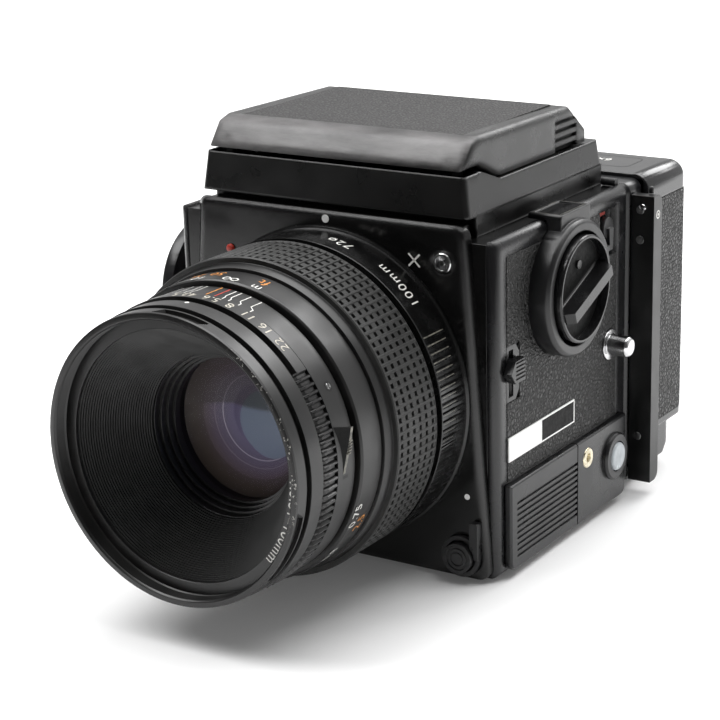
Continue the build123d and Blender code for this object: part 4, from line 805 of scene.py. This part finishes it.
def rimOutline(values):
    # round the lip, back along the outside, in under the bed and forward again along the thread
    outer, front, rear = values["radius"], values["slotFront"], values["slotRear"]
    ease, nick, rows = values["ease"], values["nick"], values["slotRows"]
    profile = values["lip"] + [(outer, front - values["slack"])]
    profile += [(outer, front + (rear - front) * i / rows) for i in range(rows + 1)]
    profile += [(outer, rear + values["slack"]), (outer, values["rear"] - ease),
                (outer - ease, values["rear"]), (values["bore"], values["rear"]),
                (values["bore"], values["back"]),
                (values["mouth"], values["back"]), (values["mouth"], values["bed"] + nick),
                (values["mouth"] + nick, values["bed"]), (values["crest"] - nick, values["bed"])]
    depth = values["threadRear"]
    while depth > values["threadFront"]:
        profile += [(values["root"], depth - values["threadPitch"] / 2),
                    (values["crest"], depth - values["threadPitch"])]
        depth -= values["threadPitch"]
    return profile + [values["lipInside"]]


rimPiece = turnedObject("filterRim", rimOutline(rim), chippedAluminium, turnSteps["slotted"], shift=rimSlots)
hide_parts("filter_rim")
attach(rimPiece, "lens_unit")

# the ribbed cone that keeps stray light off the glass, then the stepped seat of the front element
trap = {"ridges": 30, "mouth": 32.7, "mouthDepth": -67.35, "throat": 21.8, "throatDepth": -50.6,
        "ridge": 0.26, "rise": 0.12, "outer": 34.15, "front": -67.3, "rear": -50.4}


def trapOutline(values):
    profile = [(values["outer"], values["front"]), (values["mouth"], values["front"])]
    for i in range(values["ridges"]):
        share = (i + 0.5) / values["ridges"]
        r = values["mouth"] + (values["throat"] - values["mouth"]) * share
        d = values["mouthDepth"] + (values["throatDepth"] - values["mouthDepth"]) * share
        profile += [(r + values["ridge"], d), (r - values["ridge"] / 2, d + values["rise"])]
    return profile + [(values["throat"], values["rear"] - 0.1), (values["throat"], values["rear"]),
                      (values["outer"], values["rear"])]


trapPiece = turnedObject("lightTrap", trapOutline(trap), flatBlackPaint, turnSteps["plain"], sharp=20)
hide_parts("light_trap")
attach(trapPiece, "lens_unit")

seat = {"steps": 4, "from": 21.6, "to": 19.3, "bore": 19.8, "front": -50.2, "rear": -42.6, "back": -36.6,
        "outer": 21.75, "nick": 0.1, "lead": 0.12}


def seatOutline(values):
    profile = [(values["outer"], values["front"])]
    length = (values["rear"] - values["front"]) / values["steps"]
    for i in range(values["steps"]):
        r = values["from"] + (values["to"] - values["from"]) * i / (values["steps"] - 1)
        d = values["front"] + i * length
        profile += [(r, d), (r - values["nick"], d + values["lead"]),
                    (r - values["nick"], values["front"] + (i + 1) * length)]
    return profile + [(values["bore"], values["rear"]), (values["bore"], values["back"]),
                      (values["outer"], values["back"])]


seatPiece = turnedObject("glassSeat", seatOutline(seat), anodisedAluminium, turnSteps["plain"], sharp=20)
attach(seatPiece, "lens_unit")


def domeProfile(radius, front, bulge, rings):
    # from the axis outward, front is the depth of the rim and bulge is how far the middle stands ahead of it
    sphere = (radius ** 2 + bulge ** 2) / (2 * bulge)
    return [(radius * i / rings, front - bulge + sphere - (sphere ** 2 - (radius * i / rings) ** 2) ** 0.5)
            for i in range(rings + 1)]


def domeObject(name, profile, material, segments=128):
    # like turnedObject, but the first point lies on the axis
    points = [lensPoint(0, 0, profile[0][1])]
    count = len(profile) - 1
    for s in range(segments):
        points += [lensPoint(r, 360.0 * s / segments, d) for r, d in profile[1:]]
    faces = [(0, 1 + s * count, 1 + (s + 1) % segments * count) for s in range(segments)]
    faces += gridFaces(segments, count, closeRows=True, closeCount=False, base=1)
    obj = meshObject(name, points, faces, material)
    fixNormals(obj)
    return obj


glass = {"radius": 19.75, "front": -41.6, "bulge": 3.2, "rear": -40.4, "rings": 24, "hub": 0.01}
glassProfile = domeProfile(glass["radius"], glass["front"], glass["bulge"], glass["rings"])
glassProfile += [(glass["radius"], glass["rear"]), (glass["hub"], glass["rear"])]
frontElement = domeObject("frontElement", glassProfile, frontCoating)
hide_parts("front_glass")
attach(frontElement, "lens_unit")

# the groups behind it, seen as a funnel of rings painted with their coloured reflections, and a painted
# reflection of the room on the element at its foot
inside = {"mouth": 19.7, "mouthDepth": -39.8, "foot": 9.2, "footDepth": -32.6, "bulge": 0.9, "rings": 12,
          "back": -32.1, "steps": 4, "curve": 1.5, "hub": 0.01}
innerProfile = domeProfile(inside["foot"], inside["footDepth"], inside["bulge"], inside["rings"])
for i in range(inside["steps"]):
    share = (i + 1) / inside["steps"]
    depth = inside["footDepth"] + (inside["mouthDepth"] - inside["footDepth"]) * share ** inside["curve"]
    innerProfile.append((inside["foot"] + (inside["mouth"] - inside["foot"]) * share, depth))
innerProfile += [(inside["mouth"], inside["back"]), (inside["hub"], inside["back"])]
innerElement = domeObject("innerElement", innerProfile, paintedInnerReflection)
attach(innerElement, "lens_unit")
print("lens turned")


# the preview lever: a fin that climbs from its tip to a ribbed thumb edge, its broad face to the front
# each corner is an angle, a depth and a radius
previewLever = {"frontFoot": (15.2, -55.2, 38.75), "tip": (-3.6, -53.4, 38.75),
                "rearFoot": (12.4, -50.6, 38.75), "peak": (13.4, -51.8, 41.4), "thumb": (9.2, -52.0, 40.4),
                "land": 1.1, "ribs": 5, "ribsFrom": 0.06, "ribStep": 0.085, "ribWidth": 0.3, "ribHeight": 0.2,
                "ribRoot": 0.3, "ribNear": 0.02, "ribFar": 0.3, "ease": 0.1}


def makePreviewLever(values):
    def behind(corner, back):
        return (corner[0], corner[1] + back, corner[2])

    frontFoot, tip, rearFoot, peak, thumb = (
        values[key] for key in ("frontFoot", "tip", "rearFoot", "peak", "thumb"))
    corners = [frontFoot, tip, rearFoot, peak, thumb]
    corners += [behind(corner, values["land"]) for corner in (peak, thumb, tip)]
    points = [lensPoint(radius, angle, depth) for angle, depth, radius in corners]
    faces = [(0, 3, 4, 1), (3, 5, 6, 4), (4, 6, 7, 1), (5, 2, 7, 6), (0, 2, 5, 3), (0, 1, 7, 2)]
    for n in range(values["ribs"]):
        # low ribs across the thumb edge
        share = values["ribsFrom"] + n * values["ribStep"]
        angle, depth, radius = (thumb[k] + (tip[k] - thumb[k]) * share for k in range(3))
        step = values["ribWidth"] / 2 / radius * 180 / pi
        near, far = values["ribNear"], values["land"] + values["ribFar"]
        base = len(points)
        for lift in (-values["ribRoot"], values["ribHeight"]):
            points += [lensPoint(radius + lift, angle + turn, depth + back)
                       for turn, back in ((-step, near), (step, near), (step, far), (-step, far))]
        faces += [(base + 4, base + 5, base + 6, base + 7), (base + 3, base + 2, base + 1, base)]
        faces += [(base + i, base + (i + 1) % 4, base + (i + 1) % 4 + 4, base + i + 4) for i in range(4)]
    lever = meshObject("previewLever", points, faces, crinklePaint, 25)
    lever.data.materials.append(wornEdgeAndHighlight)
    for polygon in lever.data.polygons:
        # the land, the thumb edge and its ribs are worn to grey, which also stands in as their painted
        # highlight; the fin's own faces are not
        polygon.material_index = 1 if polygon.index in (1, 2) or polygon.index > 5 else 0
    fixNormals(lever)
    ease = lever.modifiers.new("ease", "BEVEL")
    ease.width = values["ease"] * mm
    ease.segments = 2
    ease.harden_normals = True
    return lever


previewPiece = makePreviewLever(previewLever)
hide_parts("preview_lever")
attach(previewPiece, "preview")

# the pin beside it
ringRadius = depthScale["radius"]
previewPin = {"angle": -4.9, "depth": -52.3, "half": 0.9, "width": 0.8}
pinLine = [(0.0, -previewPin["half"]), (0.0, previewPin["half"])]
paintOn("previewPin", [strokes([pinLine], previewPin["width"])],
        ringPlace(ringRadius, previewPin["angle"], previewPin["depth"]), flatBlackPaint, "lens_unit")

# rings of the head are a share of its radius and of its height
screwHead = {"segments": 40, "rings": ((1.0, 0.0), (1.0, 0.55), (0.86, 0.85), (0.6, 1.0), (0.3, 1.06)),
             "slotSink": 0.75, "slotReach": 0.95}


def makeScrew(name, place, values, body):
    # a low domed head with a slot, built on the plane that place(u, v, w) lays it on
    radius, height, slot = values["radius"], values["height"], values["slot"]
    segments, rings = screwHead["segments"], screwHead["rings"]
    points = []
    for share, up in rings:
        for u, v in circlePoints(radius * share, segments):
            inSlot = abs(v) < slot / 2 and share < screwHead["slotReach"]
            points.append(place(u, v, height * up - (height * screwHead["slotSink"] if inSlot else 0.0)))
    faces = gridFaces(len(rings), segments)
    faces.append(tuple(range((len(rings) - 1) * segments, len(rings) * segments)))
    screw = meshObject(name, points, faces, values["finish"])
    fixNormals(screw)
    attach(screw, body)


def frontScrewPlace(x, depth, z):
    # on a face that looks forward, w stands ahead of it
    return lambda u, v, w: bodyPoint(x + u, depth - w, z + v)


# the slotted screw of the depth ring; its well is a flat black disc, painted shade of the recess round it
ringScrew = {"angle": 29.3, "depth": -51.3, "sink": 0.1, "well": 1.4, "radius": 0.85, "height": 0.3,
             "slot": 0.4, "finish": brushedSteel}


def ringScrewPlace(u, v, w):
    return lensPoint(ringRadius + w - ringScrew["sink"], ringScrew["angle"] + u / ringRadius * 180 / pi,
                     ringScrew["depth"] - v)


paintOn("ringScrewWell", [disc(ringScrew["well"])],
        ringPlace(ringRadius, ringScrew["angle"], ringScrew["depth"]), flatBlackPaint, "lens_unit")
makeScrew("ringScrew", ringScrewPlace, ringScrew, "lens_unit")


# the scales: angles anticlockwise from the right, the tops of the figures towards the front

figure = {"size": 1.42, "spacing": 1.08}  # the font's size for figures 1 mm high


def paintWords(name, marks, radius, material, body):
    # each mark is its words, angle, depth of its middle and height in mm
    for number, (words, angle, depth, height) in enumerate(marks):
        paintOn(name + str(number), [flatText(words, height * figure["size"], figure["spacing"])],
                ringPlace(radius, angle, depth), material, body)


focusScale = {"zero": 88.5, "turn": 247.5, "near": 0.75, "principal": 0.2, "foot": 0.3048, "height": 2.9,
              "metres": (10, 5, 3, 2, 1.5, 1.2, 1, 0.9, 0.8, 0.75), "metreRow": -45.2,
              "metreSign": ("m", 77.0, -45.4, 2.7),
              "feet": (50, 25, 15, 10, 7, 5, 4, 3.5, 3, 2.5), "footRow": -41.3,
              "footSign": ("ft", 77.5, -41.2, 3.2)}


def focusAngle(metres):
    # the thread turns in proportion to the extension, which goes as 1 over the distance
    nearest = focusScale["near"] - focusScale["principal"]
    return focusScale["zero"] + focusScale["turn"] * nearest / (metres - focusScale["principal"])


metreMarks = [(str(m), focusAngle(m), focusScale["metreRow"], focusScale["height"])
              for m in focusScale["metres"]] + [focusScale["metreSign"]]
footMarks = [(str(f), focusAngle(f * focusScale["foot"]), focusScale["footRow"], focusScale["height"])
             for f in focusScale["feet"]] + [focusScale["footSign"]]
paintWords("metres", metreMarks, distance["radius"], whiteEnamel, "focus")
paintWords("feet", footMarks, distance["radius"], orangeEnamel, "focus")

infinity = {"width": 4.2, "line": 0.4, "tall": 1.35, "steps": 48, "depth": -44.8}


def infinitySign(values):
    # one even curve with two loops
    loop = []
    for i in range(values["steps"] + 1):
        t = 2 * pi * i / values["steps"]
        reach = values["width"] / 2 / (1 + sin(t) ** 2)
        loop.append((reach * cos(t), reach * sin(t) * cos(t) * values["tall"]))
    return strokes([loop], values["line"])


paintOn("infinity", [infinitySign(infinity)],
        ringPlace(distance["radius"], focusScale["zero"], infinity["depth"]), whiteEnamel, "focus")

# depth of field lines, one pair for each stop, opening outward where they meet the stops
depthMarks = {"stops": (22, 16, 11, 8), "perStop": 0.818, "width": 0.26, "top": 48.5, "bend": 53.0,
              "foot": 54.0, "end": 55.2, "spread": 0.11}


def depthLines(values, radius):
    lines = []
    for stop in values["stops"]:
        for side in (-1, 1):
            u = side * stop * values["perStop"] * pi / 180 * radius
            kink = u * (1 + values["spread"])
            lines.append([(u, values["top"]), (u, values["bend"]), (kink, values["foot"]),
                          (kink, values["end"])])
    return strokes(lines, values["width"])


paintOn("depthLines", [depthLines(depthMarks, ringRadius)], ringPlace(ringRadius, focusScale["zero"], 0.0),
        whiteEnamel, "lens_unit")

# the orange line that the distance is read at, and the red one beside it for infrared film
indexLines = {"focusIndex": {"angle": focusScale["zero"], "from": 48.3, "to": 55.2, "width": 0.36,
                             "paint": orangeEnamel},
              "infraredLine": {"angle": 84.8, "from": 48.5, "to": 55.0, "width": 0.4, "paint": redEnamel}}
for name, line in indexLines.items():
    paintOn(name, [strokes([[(0.0, line["from"]), (0.0, line["to"])]], line["width"])],
            ringPlace(ringRadius, line["angle"], 0.0), line["paint"], "lens_unit")

# the stops stand evenly, but for the widest, which is less than a whole stop away
apertureMarks = {"stops": ("22", "16", "11", "8", "5.6", "4"), "widest": "3.5", "first": 50.25, "pitch": 8.32,
                 "last": 97.0, "depth": -57.5, "height": 2.7, "index": 89.0, "indexDepth": -62.5,
                 "indexRadius": 0.6}
stopAngles = [(words, apertureMarks["first"] + i * apertureMarks["pitch"])
              for i, words in enumerate(apertureMarks["stops"])]
stopAngles.append((apertureMarks["widest"], apertureMarks["last"]))
stops = [(words, angle, apertureMarks["depth"], apertureMarks["height"]) for words, angle in stopAngles]
paintWords("stops", stops, apertureRing["radius"], agedEnamel, "aperture")
paintOn("apertureIndex", [disc(apertureMarks["indexRadius"])],
        ringPlace(frontBand["radius"], apertureMarks["index"], apertureMarks["indexDepth"]), whiteEnamel,
        "lens_unit")

# the focal length and the filter size on the fixed ring, the bead that the lens is set to, and the widest
# stop and the focal length again on the face inside the rim
fixedWords = {"size": 4.4, "spacing": 1.2, "depth": -7.9, "words": (("100mm", 50.25), ("72\u00f8", 77.0))}
for number, (words, angle) in enumerate(fixedWords["words"]):
    paintOn("focalLength" + str(number), [flatText(words, fixedWords["size"], fixedWords["spacing"])],
            ringPlace(ring, angle, fixedWords["depth"]), whiteEnamel, "camera_body")
mountDot = {"x": -31.6, "z": 84.0, "radius": 1.2, "height": 0.9, "slot": 0.0, "finish": redEnamel}
makeScrew("mountDot", frontScrewPlace(mountDot["x"], 0.0, mountDot["z"]), mountDot, "camera_body")
nameRing = {"size": 3.9, "spacing": 1.08, "radius": 34.35, "words": (("1:3.5", -6.0), ("f=100mm", -27.5))}
for number, (words, angle) in enumerate(nameRing["words"]):
    paintOn("nameRing" + str(number), [flatText(words, nameRing["size"], nameRing["spacing"])],
            facePlace(nameRing["radius"], angle, rim["bed"]), whiteEnamel, "lens_unit")
print("scales painted")


# marks and small fittings of the body

flashMark = {"x": 27.4, "z": 87.5, "half": 1.6, "width": 0.5}
half = flashMark["half"]
paintOn("flashMark", [strokes([[(-half, -half), (half, half)], [(-half, half), (half, -half)]],
                              flashMark["width"])],
        frontPlace(flashMark["x"], flashMark["z"]), whiteEnamel, "camera_body")


def paintField(name, values, material):
    # a plain field on the right side of the body
    paintOn(name, [rectangle(values["front"], values["rear"], values["low"], values["high"])],
            sidePlace(values["x"], 0.0, 0.0), material, "camera_body")


# the plate on the side stays bare: a white field, and a black field inside a white line
badge = {"x": 51.17, "front": 26.2, "rear": 45.0, "low": 33.5, "high": 39.3}
paintField("badgePanel", badge, crinklePaint)

# the ring and dot on the edge of the dark slide's handle
handleLow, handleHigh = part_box("dark_slide_handle")
slideMark = {"depth": 83.6, "z": 85.2, "outer": 1.25, "inner": 0.85, "dot": 0.42}
paintOn("slideMark", [ringShape(slideMark["outer"], slideMark["inner"]), disc(slideMark["dot"])],
        sidePlace(handleHigh[0] / mm + paintLift["handle"], slideMark["depth"], slideMark["z"]), whiteEnamel,
        "dark_slide")

# red field that shows beside the latch
redField = {"x": 48.65, "front": 65.2, "rear": 68.6, "low": 87.4, "high": 89.2}
paintField("latchField", redField, redEnamel)

# a painted highlight: a pale line round the speed window, where the housing's edges catch the light
windowHighlight = {"width": 0.2, "outset": 0.5}


def windowOutline(values):
    low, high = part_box("speed_window")
    left, right = low[0] / mm - values["outset"], high[0] / mm + values["outset"]
    front = (low[1] + bodySetback) / mm - values["outset"]
    rear = (high[1] + bodySetback) / mm + values["outset"]
    corners = rectangle(left, right, front, rear)[0]
    return strokes([corners + corners[:1]], values["width"])


paintOn("windowHighlight", [windowOutline(windowHighlight)], topPlace(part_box("knob_housing")[1][2] / mm), wornEdgeAndHighlight,
        "camera_body")

# on top of the back: the outline of a bare label field, and the film format to be read from behind
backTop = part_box("back_cover")[1][2] / mm
labelField = {"left": 2.0, "right": 42.0, "front": 96.0, "rear": 109.0, "corner": 2.5, "steps": 6,
              "width": 0.22}


def roundedOutline(values):
    corner, steps = values["corner"], values["steps"]
    left, right = values["left"] + corner, values["right"] - corner
    front, rear = values["front"] + corner, values["rear"] - corner
    points = []
    for cx, cy, turn in ((right, rear, 0), (left, rear, 90), (left, front, 180), (right, front, 270)):
        for i in range(steps + 1):
            a = radians(turn + 90 * i / steps)
            points.append((cx + corner * cos(a), cy + corner * sin(a)))
    return strokes([points + points[:1]], values["width"])


paintOn("fieldOutline", [roundedOutline(labelField)], topPlace(backTop), flatBlackPaint, "back_door")
formatMark = {"words": "6x7", "size": 4.6, "spacing": 1.1, "x": 30.0, "depth": 103.5}


def formatPlace(u, v):
    return bodyPoint(formatMark["x"] - u, formatMark["depth"] - v, backTop + paintLift["back"])


paintOn("formatMark", [flatText(formatMark["words"], formatMark["size"], formatMark["spacing"])], formatPlace,
        whiteEnamel, "back_door")

# knurled bar on the top edge that frees the back
bar = {"left": 42.9, "right": 47.4, "depth": 78.4, "z": 94.5, "radius": 1.15, "knurl": 0.14, "teeth": 9,
       "segments": 36}


def makeKnurledBar(values):
    # each tooth is four rows of points, two of them sunk
    points = []
    rows = values["teeth"] * 4
    for i in range(rows + 1):
        x = values["left"] + (values["right"] - values["left"]) * i / rows
        radius = values["radius"] - (values["knurl"] if i % 4 in (0, 1) else 0.0)
        points += [bodyPoint(x, values["depth"] + u, values["z"] + v)
                   for u, v in circlePoints(radius, values["segments"])]
    count = values["segments"]
    faces = gridFaces(rows + 1, count)
    faces += [tuple(range(count)), tuple(range(rows * count, (rows + 1) * count))]
    piece = meshObject("backReleaseBar", points, faces, blackenedSteel)
    fixNormals(piece)
    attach(piece, "camera_body")


makeKnurledBar(bar)

# the knob's cup has a crinkled floor, its dark matt paint also standing in as painted shade from the cup's
# walls, and a cove where its bar rises
knob = {"depth": 38.2, "z": 74.2, "floor": 13.75, "drop": 5.0, "turn": 21.0, "side": 0.4, "half": 12.6,
        "cove": 0.8, "steps": 5}
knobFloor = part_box("shutter_speed_knob")[1][0] / mm - knob["drop"]


def knobPlace(along, across, rise):
    # along and across the bar in the plane of the cup, rise from its floor
    a = radians(knob["turn"])
    return bodyPoint(knobFloor + rise, knob["depth"] + along * cos(a) - across * sin(a),
                     knob["z"] + along * sin(a) + across * cos(a))


def makeKnobCove(values):
    points = []
    for end in (-1, 1):
        for i in range(values["steps"] + 1):
            a = pi / 2 * i / values["steps"]
            points.append(knobPlace(end * values["half"], values["side"] + values["cove"] * (1 - sin(a)),
                                    values["cove"] * (1 - cos(a)) + paintLift["knob"]))
    faces = gridFaces(2, values["steps"] + 1, closeCount=False)
    piece = meshObject("knobCove", points, faces, polishedAbs)
    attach(piece, "speed_knob")


paintOn("knobFloor", [disc(knob["floor"], 64)], lambda u, v: knobPlace(u, v, paintLift["knob"]), crinklePaint,
        "speed_knob")
makeKnobCove(knob)

# on the dark slide's handle: a domed screw, and a stop pin on top
slideScrew = {"x": 54.7, "z": 87.5, "radius": 0.95, "height": 0.6, "slot": 0.22, "finish": chromedBrass}
slideFront = (handleLow[1] + bodySetback) / mm
makeScrew("slideScrewUpper", frontScrewPlace(slideScrew["x"], slideFront, slideScrew["z"]), slideScrew,
          "dark_slide")
slidePin = {"x": 55.2, "depth": 85.2, "radius": 0.75, "height": 1.9, "slot": 0.0, "finish": blackenedSteel}
makeScrew("slidePin",
          lambda u, v, w: bodyPoint(slidePin["x"] + u, slidePin["depth"] + v, handleHigh[2] / mm + w),
          slidePin, "dark_slide")
print("marks painted")


# floor, light and camera

sheet = {"left": -1.3, "right": 1.3, "front": -0.32, "back": 1.6, "dark": "#f4f4f4", "light": "#f8f8f8",
         "mottle": 60.0, "rough": 0.9, "glow": 0.06}
corners, faces = rectangle(sheet["left"], sheet["right"], sheet["front"], sheet["back"])
floor = meshObject("floor", [(x, y, 0) for x, y in corners], faces, None)
# white paper: bright and matt, and it glows a little, as paper does when it is lit from beneath as well
paper, tree = newMaterial("whitePaper")
mottle = spread(tree, grain(tree, texturePlace(tree), sheet["mottle"]), 0.0, 1.0)
paperColour = blend(tree, mottle, linearColour(sheet["dark"]), linearColour(sheet["light"]))
paperShader = addNode(tree, "ShaderNodeBsdfPrincipled",
                      {"Base Color": paperColour, "Roughness": sheet["rough"], "Specular IOR Level": 0.1,
                       "Emission Color": (1, 1, 1, 1), "Emission Strength": sheet["glow"]})
finishMaterial(paper, tree, paperShader)
floor.data.materials.append(paper)

studioLights = {
    "keyLeft": {"at": (-0.58, -0.38, 1.12), "aim": (0, 0, 0.08), "size": (0.75, 0.75), "watts": 13.0},
    "topBack": {"at": (0.22, 0.95, 0.78), "aim": (0, 0, 0.06), "size": (0.5, 0.4), "watts": 5.0},
    "overhead": {"at": (0.1, 0.35, 1.4), "aim": (0, 0.05, 0.0), "size": (1.7, 1.3), "watts": 26.0},
}
for name, values in studioLights.items():
    light = bpy.data.lights.new(name, "AREA")
    light.shape = "RECTANGLE"
    light.size, light.size_y = values["size"]
    light.energy = values["watts"]
    holder = bpy.data.objects.new(name, light)
    holder.location = values["at"]
    aim = Vector(values["aim"]) - Vector(values["at"])
    holder.rotation_euler = aim.to_track_quat("-Z", "Y").to_euler()
    bpy.context.scene.collection.objects.link(holder)

# white all round for the camera; for the light, a bright wall behind and a dark room in front
room = {"wall": 0.75, "dark": 0.1, "turnFrom": -0.35, "turnTo": 0.45}


def makeRoom(values):
    world = bpy.data.worlds.new("studio")
    bpy.context.scene.world = world
    world.use_nodes = True
    tree = world.node_tree
    tree.nodes.clear()
    direction = addNode(tree, "ShaderNodeTexCoord").outputs["Generated"]
    depthwise = addNode(tree, "ShaderNodeSeparateXYZ", {0: direction}).outputs["Y"]
    wall = addNode(tree, "ShaderNodeMapRange",
                   {"Value": depthwise, "From Min": values["turnFrom"], "From Max": values["turnTo"],
                    "To Min": values["dark"], "To Max": values["wall"]}, interpolation_type="SMOOTHSTEP")
    rays = addNode(tree, "ShaderNodeLightPath")
    level = addNode(tree, "ShaderNodeMix", {0: rays.outputs["Is Camera Ray"], 2: wall.outputs[0], 3: 1.0})
    back = addNode(tree, "ShaderNodeBackground", {"Color": (1, 1, 1, 1), "Strength": level.outputs[0]})
    addNode(tree, "ShaderNodeOutputWorld", {"Surface": back.outputs[0]})


makeRoom(room)

# the place and the lens that the photograph was taken with, lengths in metres and the lens in mm
photoView = {"azimuth": 32.99, "elevation": 17.25, "roll": -1.51, "lens": 104.68, "sensor": 36.0,
             "nearest": 0.01, "position": (0.30265, -0.49115, 0.22471)}


def placeCamera(values):
    turn, tilt, roll = (radians(values[key]) for key in ("azimuth", "elevation", "roll"))
    look = Vector((-sin(turn) * cos(tilt), cos(turn) * cos(tilt), -sin(tilt)))
    right = Vector((cos(turn), sin(turn), 0))
    up = right.cross(look)
    rolledRight = cos(roll) * right + sin(roll) * up
    rolledUp = -sin(roll) * right + cos(roll) * up
    camera = bpy.data.cameras.new("photoCamera")
    camera.sensor_width = values["sensor"]
    camera.lens = values["lens"]
    camera.clip_start = values["nearest"]
    holder = bpy.data.objects.new("photoCamera", camera)
    matrix = Matrix((rolledRight, rolledUp, -look)).transposed().to_4x4()
    matrix.translation = Vector(values["position"])
    holder.matrix_world = matrix
    bpy.context.scene.collection.objects.link(holder)
    bpy.context.scene.camera = holder


placeCamera(photoView)
scene = bpy.context.scene
scene.view_settings.view_transform = "Standard"
scene.view_settings.look = "None"
print("stage lit")
